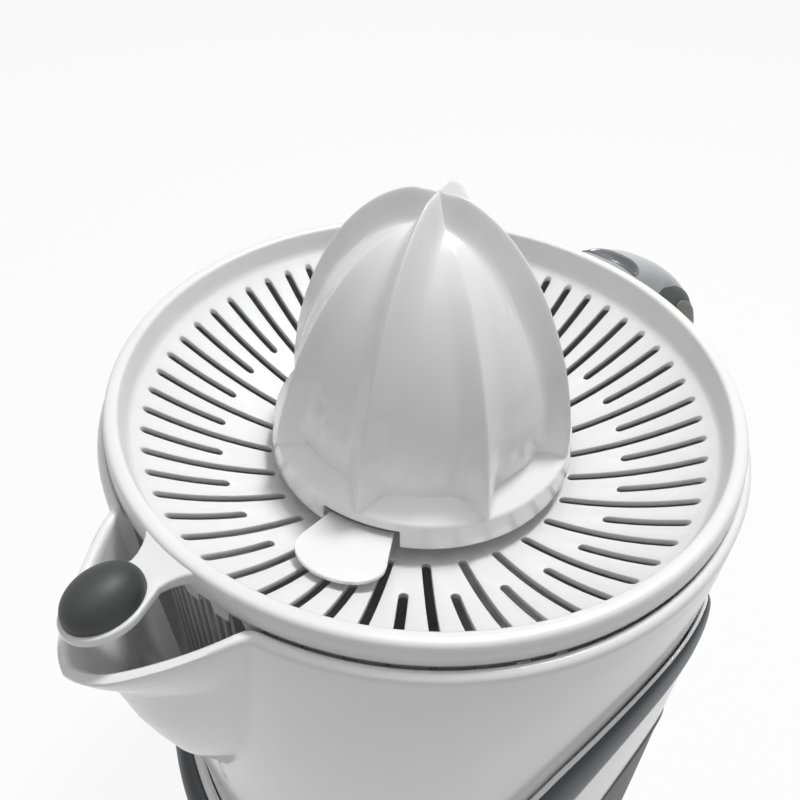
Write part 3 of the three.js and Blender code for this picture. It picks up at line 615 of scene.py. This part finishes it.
class JUICER_OT_jug(bpy.types.Operator):
    """Builds the jug with its spout, and the comb that holds back pips in the mouth"""

    bl_idname = "juicer.jug"
    bl_label = "Jug"

    def execute(self, context):
        made = finishes(context)
        fine = [0.75 * i for i in range(-28, 29)]  # turns in degrees, close together across the spout
        lines = [jug_line(degree) for degree in fine + [24 + 3.0 * i for i in range(105)]]
        jug = skin(len(lines), len(lines[0]), lambda column, row: lines[column][row], closed=True)
        shell = finish_piece(jug, "jug_shell", "jug", made["white_gloss"], ["jug_body"], crease=60)
        # Faces of the jug's inside take the darker inside colour, which is painted shade on the white moulding.
        shell.data.materials.append(made["inner_white"])
        for face in shell.data.polygons:
            x, y, z = face.center
            if math.hypot(x, y - AXIS_Y) < SHADED_INSIDE_RADIUS * MM and z > SHADED_INSIDE_HEIGHT * MM:
                face.material_index = 1

        ribs = context.scene.juicer_sizes.comb_ribs
        comb = bmesh.new()
        for i in range(ribs):
            middle = 1 + (i - (ribs - 1) / 2) * COMB_PITCH
            low = sill_height(middle) - 3
            side = [(low, 73.2), (low + 4, 73.2, 0.6), (low + 9, 70.8, 0.6), (180.6, 70.8), (180.6, 69.7),
                    (low, 69.7)]
            rib = slab(rounded(side, 3), -0.5, 0.5, 0.15)
            for vert in rib.verts:
                vert.co = Vector((vert.co.z, -vert.co.y, vert.co.x))
            turn_about_axis(rib, middle)
            mesh = as_mesh(rib, "comb_rib")
            comb.from_mesh(mesh)
            bpy.data.meshes.remove(mesh)
        # The comb takes the inside's grey, which is painted shade on white ribs.
        finish_piece(comb, "spout_comb", "jug", made["inner_white"])
        return {"FINISHED"}


# ---- handle ---------------------------------------------------------------------------
HANDLE_PATH = [(70, 179), (84, 175.8), (99, 170), (115, 161.3), (127.5, 149.3), (132, 131), (128.5, 111),
               (118, 94), (102, 83), (86, 77), (70, 75)]
HANDLE_LENGTH = 178.5  # along the path
HANDLE_SHARES = [0, 0.12, 0.25, 0.31, 0.37, 0.44, 0.7, 1]
HANDLE_HALF_WIDTHS = [10.5, 11, 12.4, 14.6, 18, 20.2, 18.4, 13]
HANDLE_DEPTHS = [7, 7.2, 8, 8.3, 7.8, 6.5, 6.7, 7]
HANDLE_STEPS = 72
SECTION_POWER = 0.75  # makes the oval section fuller
SLOPE_POWER = 1.67

DISH_HALF_WIDTH, DISH_HALF_LENGTH = 9.4, 5.4
DISH_MIDDLE = 0.112  # share of the handle's length
DISH_CUT = (-2.8, 4)  # from the dish's floor to clear of the handle's top
# Cross-section of the inlay as [inset from the dish's outline, lift off the handle].
DISH_RINGS = [(0.12, -2.75), (0, -0.3), (-0.45, 0.02), (-0.42, 0.2), (-0.15, 0.34), (0.2, 0.3), (0.45, 0.05),
              (0.6, -0.4), (0.75, -1.9), (1.0, -2.2), (1.5, -2.25), (3.0, -2.25), (5.2, -2.25)]

GRIP_END = 0.9
GRIP_PAST_FLANK = 1  # how far the grip goes round past the handle's flanks, in radians
# Where the grip starts along the handle, by the angle in degrees from the flank towards the top.
GRIP_ANGLES = [-58, 0, 25, 36, 60, 90]
GRIP_STARTS = [0.21, 0.235, 0.3, 0.355, 0.4, 0.41]
# Cross-section of a grip oval as [share of its size, lift off the handle].
OVAL_RINGS = [(1.0, 0.1), (1.0, 0.8), (0.97, 1.02), (0.93, 1.08), (0.89, 1.0), (0.85, 0.85), (0.65, 0.9),
              (0.5, 0.95), (0.35, 0.95), (0.2, 0.95), (0.05, 0.95)]


def handle_line(count):
    """Evenly spaced [point, outward direction] pairs down the middle of the handle."""
    knots = [Vector((0, y, z)) for y, z in HANDLE_PATH]
    ahead = [(knots[min(i + 1, len(knots) - 1)] - knots[max(i - 1, 0)]) / 6 for i in range(len(knots))]
    dense = []
    for i in range(len(knots) - 1):
        dense += interpolate_bezier(knots[i], knots[i] + ahead[i], knots[i + 1] - ahead[i + 1], knots[i + 1], 24)[:-1]
    dense.append(knots[-1])
    lengths = np.concatenate([[0], np.cumsum([(b - a).length for a, b in zip(dense, dense[1:])])])
    made = []
    for k in range(count + 1):
        reached = lengths[-1] * k / count
        i = min(int(np.searchsorted(lengths, reached, side="right")) - 1, len(dense) - 2)
        part = (reached - lengths[i]) / (lengths[i + 1] - lengths[i])
        along = (dense[i + 1] - dense[i]).normalized()
        made.append((dense[i].lerp(dense[i + 1], part), Vector((0, -along.z, along.y))))
    return made


HANDLE_LINE = handle_line(HANDLE_STEPS)


def on_handle(share, angle, lift=0.0):
    """Point on the handle at a share of its length and an angle round its section, lifted off it."""
    place = share * HANDLE_STEPS
    i = min(int(place), HANDLE_STEPS - 1)
    centre = HANDLE_LINE[i][0].lerp(HANDLE_LINE[i + 1][0], place - i)
    outward = HANDLE_LINE[i][1].lerp(HANDLE_LINE[i + 1][1], place - i).normalized()
    half = read_off(share, HANDLE_SHARES, HANDLE_HALF_WIDTHS)
    depth = read_off(share, HANDLE_SHARES, HANDLE_DEPTHS)
    side, out = swell(math.cos(angle), SECTION_POWER), swell(math.sin(angle), SECTION_POWER)
    slope = Vector((swell(side, SLOPE_POWER) / half, swell(out, SLOPE_POWER) / depth)).normalized()
    return centre + Vector((half * side + lift * slope.x, 0, 0)) + outward * (depth * out + lift * slope.y)


def on_top(sideways, share, lift):
    """Point over the handle's top at a distance from its middle line."""
    side = sideways / read_off(share, HANDLE_SHARES, HANDLE_HALF_WIDTHS)
    return on_handle(share, math.acos(swell(max(-1.0, min(1.0, side)), 1 / SECTION_POWER)), lift)


def dish_outline(inset):
    """Oval outline of the dish across the handle's top as [sideways, share of the handle], drawn in by an inset."""
    points = []
    for step in range(64):
        a = math.tau * step / 64
        along = (DISH_HALF_LENGTH - inset) * swell(math.sin(a), 0.85)
        points.append(((DISH_HALF_WIDTH - inset) * swell(math.cos(a), 0.85), DISH_MIDDLE + along / HANDLE_LENGTH))
    return points


class JUICER_OT_handle(bpy.types.Operator):
    """Builds the looped handle, its soft grip with an oval on each flank, and the bright inlay in its top"""

    bl_idname = "juicer.handle"
    bl_label = "Handle"

    def execute(self, context):
        made = finishes(context)
        around = 48

        def loop(column, row):
            point = on_handle(row / HANDLE_STEPS, math.tau * column / around)
            clear = jug_radius(point.z) - 0.3
            if math.hypot(point.x, point.y) < clear:
                point.y = math.sqrt(clear ** 2 - point.x ** 2)
            return point

        handle = skin(around, HANDLE_STEPS, loop)
        dish = dish_outline(0)
        cut_out(handle, skin(len(dish), 1, lambda column, row: on_top(*dish[column], DISH_CUT[row])))
        finish_piece(handle, "handle_loop", "jug", made["handle_white"], ["jug_handle"])

        outlines = [dish_outline(inset) for inset, _ in DISH_RINGS]
        cup = skin(len(dish), len(DISH_RINGS) - 1,
                   lambda column, row: on_top(*outlines[row][column], DISH_RINGS[row][1]))
        finish_piece(cup, "handle_cup", "jug", made["bright_inlay"], ["handle_inlay"], crease=60)

        rows, outer_columns, inner_columns = 48, 44, 16
        whole = math.pi + 2 * GRIP_PAST_FLANK

        def grip(column, row):
            if column <= outer_columns:
                angle = whole * column / outer_columns - GRIP_PAST_FLANK
            else:
                angle = math.pi + GRIP_PAST_FLANK - whole * (column - outer_columns) / inner_columns
            start = read_off(math.degrees(min(angle, math.pi - angle)), GRIP_ANGLES, GRIP_STARTS)
            share = start + (GRIP_END - start) * row / rows
            if column > outer_columns:
                return on_handle(share, angle, -1.6)
            lift = (0.0, 0.28, 0.42)[min(row, rows - row, 2)]
            return on_handle(share, angle, lift if 0 < column < outer_columns else -0.2)

        sleeve = skin(outer_columns + inner_columns, rows, grip)
        finish_piece(sleeve, "grip_sleeve", "jug", made["soft_grey"], ["handle_grip"])

        for middle, name in ((-0.12, "right"), (math.pi + 0.12, "left")):

            def oval_panel(column, row, middle=middle):
                size, lift = OVAL_RINGS[row]
                a = math.tau * column / 64
                share = 0.52 + 0.2 * size * swell(math.cos(a), 0.8)
                return on_handle(share, middle + 0.5 * size * swell(math.sin(a), 0.8), lift)

            oval = skin(64, len(OVAL_RINGS) - 1, oval_panel)
            finish_piece(oval, f"grip_oval_{name}", "jug", made["oval_grey"])
        return {"FINISHED"}


# ---- strainer tray --------------------------------------------------------------------
SLOT_TURN = 6  # degrees from slot to slot; a sector has a long and a short one
SLOTS = 60
FLOOR_THICKNESS = 1.8
# Radii of the floor's rows, and which rows end a slot: [slot of the sector or both, which way the end bends].
LONG_ROW, SHORT_ROW, OUTER_ROW = 4, 7, 12
FLOOR_RADII = [16, 22, 28, 34, 37.9, 41, 45, 49.6, 53, 57, 61, 64.5, 66.85]
SLOT_ENDS = {LONG_ROW: (1, 1), SHORT_ROW: (0, 1), OUTER_ROW: (None, -1)}
# Rim and skirt as [radius, height under the rim's plane]; the skirt's foot has teeth where no height is given.
RIM_SECTION = [
    (68.3, -7.15), (68.95, -6.3), (69.25, -5.2), (69.5, -3.4), (69.8, -0.9), (69.95, -0.3), (70.35, 0), (72.0, 0),
    (72.55, -0.2), (72.95, -0.7), (73.35, -2.6), (73.5, -5.0), (73.3, -5.7), (72.8, -5.95), (72.35, -6.0),
    (72.3, -6.6), (72.25, None), (71.6, None), (71.1, None), (71.1, -7.6), (70.2, -8.0), (69.0, -8.6),
]
GAP_HEIGHT, TOOTH_HEIGHT = -8.3, -11.6
HUB_OUTLINE = [
    (9.2, -24.4, 0.5), (15, -24.4), (19, -28.6), (19, -32.2, 0.8), (15.2, -32.2), (15.2, -36, 0.6), (12.6, -36, 0.6),
    (12.6, -27, 0.6), (9.2, -27),
]


def bowl(radius):
    """Height of the tray's dished floor under its rim."""
    return 73.5 - math.sqrt(105.7 ** 2 - radius ** 2)


class JUICER_OT_tray(bpy.types.Operator):
    """Builds the strainer tray: a dished floor with 60 slots, its rim and toothed skirt"""

    bl_idname = "juicer.tray"
    bl_label = "Strainer Tray"

    def execute(self, context):
        made = finishes(context)
        sizes = context.scene.juicer_sizes
        half = sizes.slot_width / MM / 2
        slot_lines = [0, -half, -0.72 * half, 0, 0.72 * half, half, 0]
        tooth_lines = [0, -2.15, -1.95, 0, 1.95, 2.15, 0]
        floor_rows = len(FLOOR_RADII)
        under_row = floor_rows + len(RIM_SECTION)
        rows = under_row + floor_rows

        def sector(column, row):
            """Radius, turn in degrees and height of a point of the sector; its two slots have six columns each."""
            slot = min(column // 6, 1)
            line = column - 6 * slot
            on_edge = line in (0, 6)
            under = row >= under_row
            if under:
                row = rows - 1 - row
            if row < floor_rows:
                r, aside = FLOOR_RADII[row], slot_lines[line]
                ended, bend = SLOT_ENDS.get(row, (-1, 0))
                if not on_edge and ended in (None, slot):
                    r += bend * half * (1 - math.sqrt(max(0, 1 - (aside / half) ** 2)))
                z = bowl(r) - (FLOOR_THICKNESS if under else 0)
            else:
                r, z = RIM_SECTION[row - floor_rows]
                aside = slot_lines[line] if z is not None and z > -7.5 else tooth_lines[line]
                if z is None:
                    z = GAP_HEIGHT if line in (2, 3, 4) else TOOTH_HEIGHT
            offset = (line - 3) * SLOT_TURN / 6 if on_edge else math.degrees(math.asin(aside / r))
            return r, SLOT_TURN * slot + offset, z

        grid = bmesh.new()
        cells = lay_grid(grid, 12, rows)
        openings = []
        for face in grid.faces:
            slot, line = divmod(min(cells[v][0] for v in face.verts), 6)
            low = min(cells[v][1] for v in face.verts)
            if low >= under_row:
                low = rows - 2 - low
            if line in (1, 2, 3, 4) and (LONG_ROW if slot else SHORT_ROW) <= low < OUTER_ROW:
                openings.append(face)
        for vert, (column, row) in cells.items():
            r, degree, z = sector(column, row % rows)
            vert.co = at(math.radians(degree), r, z)
        bmesh.ops.delete(grid, geom=openings, context="FACES_KEEP_BOUNDARY")
        bmesh.ops.remove_doubles(grid, verts=grid.verts, dist=MERGE)

        def turn_of(edge):
            middle = edge.verts[0].co + edge.verts[1].co
            return math.degrees(math.atan2(middle.x, -middle.y))

        first, last = -SLOT_TURN / 2, SLOT_TURN * 1.5
        edges = [e for e in grid.edges if e.is_boundary and first + 0.01 < turn_of(e) < last - 0.01]
        for slot in (0, 1):
            near = [e for e in edges if abs(turn_of(e) - SLOT_TURN * slot) < SLOT_TURN / 2 - 0.1]
            bmesh.ops.bridge_loops(grid, edges=near)
        if sizes.slot_edge > 0:
            bmesh.ops.bevel(grid, geom=edges, offset=sizes.slot_edge / MM, offset_type="OFFSET", segments=2,
                            profile=0.5, affect="EDGES", clamp_overlap=True, material=-1)
        copies = SLOTS // 2 - 1
        bmesh.ops.spin(grid, geom=grid.verts[:] + grid.edges[:] + grid.faces[:], cent=(0, 0, 0), axis=(0, 0, 1),
                       steps=copies, angle=math.radians(2 * SLOT_TURN * copies), use_duplicate=True,
                       use_merge=False)
        bmesh.ops.remove_doubles(grid, verts=grid.verts, dist=MERGE)
        bmesh.ops.translate(grid, vec=(0, 0, RIM), verts=grid.verts)
        revolve([(r, z + RIM) for r, z in rounded(HUB_OUTLINE)], 96, grid)
        finish_piece(grid, "tray_dish", "tray", made["tray_white"], ["strainer_tray"], crease=50)
        return {"FINISHED"}


PAD_Y = -86
PAD_HALF_WIDTH, PAD_HALF_LENGTH = 5.9, 7.6
PAD_BORDER = 0.7  # of the arm round the pad


class JUICER_OT_finger_pad(bpy.types.Operator):
    """Builds the arm over the spout and the domed finger pad on its end"""

    bl_idname = "juicer.finger_pad"
    bl_label = "Finger Pad"

    def execute(self, context):
        made = finishes(context)
        flare = [(-8.8, -71.6), (-7.5, -72.5), (-6.3, -73.6), (-5.4, -74.9), (-4.7, -76.4), (-4.3, -78)]
        outline = list(flare)
        for a in steps(0.9 * math.pi, 2.1 * math.pi, 41):
            outline.append(((PAD_HALF_WIDTH + PAD_BORDER) * math.cos(a),
                            PAD_Y + (PAD_HALF_LENGTH + PAD_BORDER) * math.sin(a)))
        outline += [(-x, y) for x, y in reversed(flare)]
        arm = slab(outline, -4, -1.8, 0.5)
        for vert in arm.verts:
            if vert.co.z > -2.9:
                vert.co.z += 1.3 * max(0, min(1, (vert.co.y + 80) / 8)) ** 2
        bmesh.ops.translate(arm, vec=(0, 0, RIM), verts=arm.verts)
        finish_piece(arm, "tray_arm", "tray", made["tray_white"])

        pad = bmesh.new()
        bmesh.ops.create_uvsphere(pad, u_segments=64, v_segments=32, radius=1)
        bmesh.ops.bisect_plane(pad, geom=pad.verts[:] + pad.edges[:] + pad.faces[:], dist=1e-4, plane_co=(0, 0, 0),
                               plane_no=(0, 0, 1), clear_inner=True)
        close_holes(pad)
        for vert in pad.verts:
            rise = min(vert.co.z, 0.999)
            fuller = math.sqrt((1 - rise ** 2.6) / (1 - rise ** 2))
            vert.co.x *= fuller
            vert.co.y *= fuller
        bmesh.ops.scale(pad, vec=(PAD_HALF_WIDTH, PAD_HALF_LENGTH, context.scene.juicer_sizes.pad_height / MM),
                        verts=pad.verts)
        bmesh.ops.translate(pad, vec=(0, PAD_Y, RIM - 1.6), verts=pad.verts)
        finish_piece(pad, "pad_dome", "tray", made["pad_grey"], ["thumb_pad"])
        return {"FINISHED"}


# ---- reamer ---------------------------------------------------------------------------
# Heights of the reamer's parts are over the plane of the tray's rim.
TAB_TURN = 18.7  # turn in degrees of the lifting tab and of the window over it
FIN_LEAN = -1.5  # from the window's middle to the fin over it
FINS = 8
FIN_TURN = 360 / FINS

LARGE_FOOT = -14
DOME_RADIUS, DOME_TOP = 33, 52.7  # the dome's size at its foot and its height over it
CREST_RADIUS, CREST_LENGTH, CREST_TOP = 36.8, 59, 44.3  # tall fins at their foot, over it and at their top
DOME_POWER = 1.62
# Reach of the low fins off the dome by the height over its foot.
LOW_HEIGHTS = [0, 13, 23, 34, 44, 50, DOME_TOP]
LOW_REACHES = [4.2, 2.7, 2.3, 1.7, 1.1, 0.5, 0]
# Angles in degrees of the points from one fin to the next.
LARGE_OFFSETS = [-22.5, -18, -14.3, -14.0, -11.5, -9.2, -7.5, -6, -4.7, -3.6, -2.8, -2.1, -1.5, -0.9, -0.2, 0.6,
                 1.7, 3.1, 4.7, 6.7, 9.2, 11.5, 14.0, 14.3, 18]
SMALL_OFFSETS = [-22.5, -16, -11, -7.5, -5, -3, -1.4, 0, 1.4, 3, 5, 7.5, 11, 16]
WINDOW_HALF_TURN, WINDOW_TOP = 14.05, -15.9
FLANGE_SECTION = [
    (36.3, LARGE_FOOT), (36.75, -14.3), (36.95, -15.0), (37.35, -18.0), (37.6, -20.5), (37.4, -21.0), (36.4, -21.0),
    (36.0, -20.6), (36.0, -17.4), (29, -16.4), (27.6, -4), (22.6, 13), (14.5, 24), (7, 29.5), (0.02, 31.5),
]
SMALL_FOOT = -18.2
SMALL_UNDERSIDE = [(33.9, -18.3), (34.5, -18.8), (34.6, -19.8), (34.2, -20.1), (8.4, -20.1), (8.4, -41.5), (7.9, -42),
                   (5.6, -42), (5.6, 4.2), (0.02, 4.4)]


def crest_radius(height):
    """Radius of a tall fin's crest at a height over the dome's foot."""
    return CREST_RADIUS * math.sqrt(max(0.0, 1 - max(0.0, height / CREST_LENGTH) ** DOME_POWER))


def dome_point(angle):
    """Radius and height over the foot of the large cone's dome, from its foot at 0 to its top at a right angle."""
    return DOME_RADIUS * math.sqrt(max(0.0, 1 - math.sin(angle) ** DOME_POWER)), DOME_TOP * math.sin(angle)


def crest_rise(radius, height, out, up):
    """Distance square off the dome at which the tall fins' crest lies."""
    low, high = 0.0, 12.0
    for _ in range(30):
        middle = (low + high) / 2
        reached = height + up * middle
        inside = radius + out * middle < crest_radius(reached) and reached < CREST_TOP - LARGE_FOOT
        low, high = (middle, high) if inside else (low, middle)
    return low


def dome_line():
    """Rows of the large cone's dome: radius, height over the foot, direction off it, reach of tall and low fins."""
    angles = [math.pi / 2 * (1 - k / 59) for k in range(56)]
    angles += [foot / DOME_TOP for foot in (4.4, 3.7, 3.2, 2.9, 2.7, 2.4, 1.8, 1.2, 0.6, 0.1)]
    line = []
    for angle in angles:
        radius, height = dome_point(angle)
        next_radius, next_height = dome_point(angle - 0.0015)
        pinch = 2.6 * max(0.0, 1 - height / 16) ** 1.4
        radius, next_radius = radius - pinch, next_radius - pinch
        out, up = height - next_height, next_radius - radius
        length = math.hypot(out, up)
        out, up = out / length, up / length
        line.append((radius, height, out, up, crest_rise(radius, height, out, up),
                     read_off(height, LOW_HEIGHTS, LOW_REACHES) + pinch))
    return line


class JUICER_OT_large_cone(bpy.types.Operator):
    """Builds the outer reamer: a dome with four tall and four low fins on a flange"""

    bl_idname = "juicer.large_cone"
    bl_label = "Large Cone"

    def execute(self, context):
        made = finishes(context)
        flank = context.scene.juicer_sizes.fin_flank / MM
        profile = dome_line()

        def surface(column, row):
            fin, part = divmod(column, len(LARGE_OFFSETS))
            turn = FIN_TURN * fin + LARGE_OFFSETS[part]
            if row < len(profile):
                radius, height, out, up, tall, low = profile[row]
                rise = (36.2 - radius) * max(0.0, 1 - height / 2.7)
                near = flank * (0.5 + 0.5 * min(1, radius / 18))
                for other in range(FINS):
                    away = math.radians(turn - FIN_TURN * other - FIN_LEAN)
                    if math.cos(away) <= 0:
                        continue
                    aside = math.hypot(radius * math.sin(away), 0.25) - 0.25
                    crest = low if other % 2 else tall
                    rise = smooth_max(rise, crest * max(0.0, 1 - aside / near) ** 1.45, 0.2)
                return at(math.radians(TAB_TURN + turn), radius + out * rise, RIM + LARGE_FOOT + height + up * rise)
            r, z = FLANGE_SECTION[row - len(profile)]
            if fin == 0 and abs(turn) <= WINDOW_HALF_TURN and r > 35.5:
                z = max(z, WINDOW_TOP)
            return at(math.radians(TAB_TURN + turn), r, RIM + z)

        cone = skin(len(LARGE_OFFSETS) * FINS, len(profile) + len(FLANGE_SECTION) - 1, surface)
        finish_piece(cone, "reamer_large", "large_cone", made["white_gloss"], ["large_cone"],
                     crease=48)
        return {"FINISHED"}


class JUICER_OT_small_cone(bpy.types.Operator):
    """Builds the inner reamer with its drive socket and lifting tab"""

    bl_idname = "juicer.small_cone"
    bl_label = "Small Cone"

    def execute(self, context):
        made = finishes(context)
        heights = [SMALL_FOOT + 43.5 * float(s) for s in np.sin(np.linspace(0.98 * math.pi / 2, 0, 30))]
        flank = 3.6

        def oval(share):
            return max(0.0, 1 - share * share) ** 0.54

        def surface(column, row):
            fin, part = divmod(column, len(SMALL_OFFSETS))
            offset = SMALL_OFFSETS[part]
            turn = math.radians(TAB_TURN + FIN_TURN * fin + offset)
            if row == 0:
                return Vector((0, 0, RIM + 25.2))
            row -= 1
            if row < len(heights):
                z = heights[row]
                dome = max(1.0, 20 * oval((z - SMALL_FOOT) / 41))
                crest = max(1.0, 24 * oval((z - SMALL_FOOT) / 44.2))
                aside = math.hypot(math.radians(abs(offset)) * (dome + crest) / 2, 0.35) - 0.25
                rise = max(0.0, crest - dome) * max(0.0, 1 - aside / flank) ** 1.35
                return at(turn, dome + rise, RIM + z)
            r, z = SMALL_UNDERSIDE[row - len(heights)]
            return at(turn, r, RIM + z)

        cone = skin(len(SMALL_OFFSETS) * FINS, len(heights) + len(SMALL_UNDERSIDE), surface)
        finish_piece(cone, "reamer_small", "small_cone", made["white_gloss"], ["small_cone"],
                     crease=48)

        side = [(30, 6.5), (34, 7.2), (38, 8.2), (42, 9.2), (45, 10.0)]
        outline = [(x, -y) for x, y in side]
        for a in steps(-math.pi / 2, math.pi / 2, 33)[1:-1]:
            outline.append((46 + 7.4 * math.cos(a), 10.2 * math.sin(a)))
        outline += reversed(side)
        tab = slab(outline, -1.3, 0, 0.35)
        for vert in tab.verts:
            vert.co.z += RIM - 18.6 + 3.7 * (vert.co.x - 30) / 23.6
        turn_about_axis(tab, TAB_TURN - 90.2)
        finish_piece(tab, "lifting_tab", "small_cone", made["white_gloss"])
        return {"FINISHED"}


# ---- stage ----------------------------------------------------------------------------
def seen_directly(tree):
    """Socket that is 1 for what the camera sees, straight or in a reflection or through a clear piece."""
    path = node(tree, "ShaderNodeLightPath")
    socket = path.outputs["Is Camera Ray"]
    for ray in ("Is Glossy Ray", "Is Transmission Ray"):
        either = node(tree, "ShaderNodeMath")
        either.operation = "MAXIMUM"
        tree.links.new(socket, either.inputs[0])
        tree.links.new(path.outputs[ray], either.inputs[1])
        socket = either.outputs["Value"]
    return socket


def mix_shaders(tree, share, first, second, end):
    """Feeds an output with a mix of two shaders, with a share of the second."""
    mix = node(tree, "ShaderNodeMixShader")
    for source, socket in ((share, mix.inputs["Fac"]), (first, mix.inputs[1]), (second, mix.inputs[2])):
        tree.links.new(source, socket)
    tree.links.new(mix.outputs["Shader"], end.inputs["Surface"])


class JUICER_OT_stage(bpy.types.Operator):
    """Sets the pale floor, the soft studio light and the camera"""

    bl_idname = "juicer.stage"
    bl_label = "Stage"

    def execute(self, context):
        scene = context.scene
        scene.view_settings.view_transform = "Standard"
        plane = bmesh.new()
        bmesh.ops.create_grid(plane, x_segments=1, y_segments=1, size=3)
        floor = add_object("studio_floor", as_mesh(plane, "studio_floor"))
        paper = bpy.data.materials.new("studio_paper")
        paper.use_nodes = True
        floor.data.materials.append(paper)
        tree = paper.node_tree
        shader = tree.nodes["Principled BSDF"]
        shader.inputs["Base Color"].default_value = (0.82, 0.82, 0.82, 1)
        shader.inputs["Roughness"].default_value = 0.9
        glow = node(tree, "ShaderNodeEmission", Color=(1, 1, 1, 1), Strength=1.0)
        share = node(tree, "ShaderNodeMath")
        share.operation = "MULTIPLY"
        share.inputs[1].default_value = 0.9  # what is left is the paper, which keeps the object's shadow
        tree.links.new(seen_directly(tree), share.inputs[0])
        mix_shaders(tree, share.outputs["Value"], shader.outputs["BSDF"], glow.outputs["Emission"],
                    tree.nodes["Material Output"])

        world = bpy.data.worlds.new("studio_world")
        world.use_nodes = True
        scene.world = world
        tree = world.node_tree
        soft = tree.nodes["Background"]
        soft.inputs["Color"].default_value = (0.5, 0.5, 0.5, 1)
        soft.inputs["Strength"].default_value = 0.52
        white = node(tree, "ShaderNodeBackground", Color=(1, 1, 1, 1), Strength=1.0)
        mix_shaders(tree, seen_directly(tree), soft.outputs["Background"], white.outputs["Background"],
                    tree.nodes["World Output"])

        aim = Vector((0, AXIS_Y, 0.15))
        for name, place, size, power in (("key_lamp", (0, AXIS_Y + 0.38, 1.18), 0.18, 8.2),
                                         ("sky_panel", (0.05, AXIS_Y - 0.1, 1.15), 1.2, 3.0)):
            light = bpy.data.lights.new(name, "AREA")
            light.shape = "SQUARE"
            light.size = size
            light.energy = power
            lamp = add_object(name, light)
            lamp.location = place
            lamp.rotation_euler = (aim - Vector(place)).to_track_quat("-Z", "Y").to_euler()

        lens = bpy.data.cameras.new("studio_camera")
        lens.lens = 33.69
        lens.sensor_width = 36
        lens.clip_start = 0.01
        camera = add_object("studio_camera", lens)
        right = Vector((0.74821943, 0.66271165, 0.03132028))
        up = Vector((-0.45851236, 0.48239919, 0.74636281))
        turned = Matrix((right, up, right.cross(up))).transposed().to_4x4()
        turned.translation = Vector((0.0839485, AXIS_Y - 0.1094037, RIM * MM + 0.1114634))
        camera.matrix_world = turned
        scene.camera = camera
        return {"FINISHED"}


STEPS = (
    JUICER_OT_stage, JUICER_OT_base, JUICER_OT_side_grips, JUICER_OT_inner_works, JUICER_OT_jug, JUICER_OT_handle,
    JUICER_OT_tray, JUICER_OT_finger_pad, JUICER_OT_small_cone, JUICER_OT_large_cone,
)


class JUICER_PT_panel(bpy.types.Panel):
    """Sizes, colours and building steps of the juicer"""

    bl_idname = "JUICER_PT_panel"
    bl_label = "Citrus Press Juicer"
    bl_space_type = "VIEW_3D"
    bl_region_type = "UI"
    bl_category = "Juicer"

    def draw(self, context):
        layout = self.layout
        for group in (context.scene.juicer_sizes, context.scene.juicer_colours):
            for key in group.__annotations__:
                layout.prop(group, key)
        for step in STEPS:
            layout.operator(step.bl_idname)


CLASSES = (JuicerSizes, JuicerColours, *STEPS, JUICER_PT_panel)


def register():
    for entry in CLASSES:
        bpy.utils.register_class(entry)
    bpy.types.Scene.juicer_sizes = PointerProperty(type=JuicerSizes)
    bpy.types.Scene.juicer_colours = PointerProperty(type=JuicerColours)


def unregister():
    del bpy.types.Scene.juicer_colours
    del bpy.types.Scene.juicer_sizes
    for entry in reversed(CLASSES):
        bpy.utils.unregister_class(entry)


def main():
    register()
    for step in STEPS:
        group, name = step.bl_idname.split(".")
        getattr(getattr(bpy.ops, group), name)()


if __name__ == "__main__":
    main()
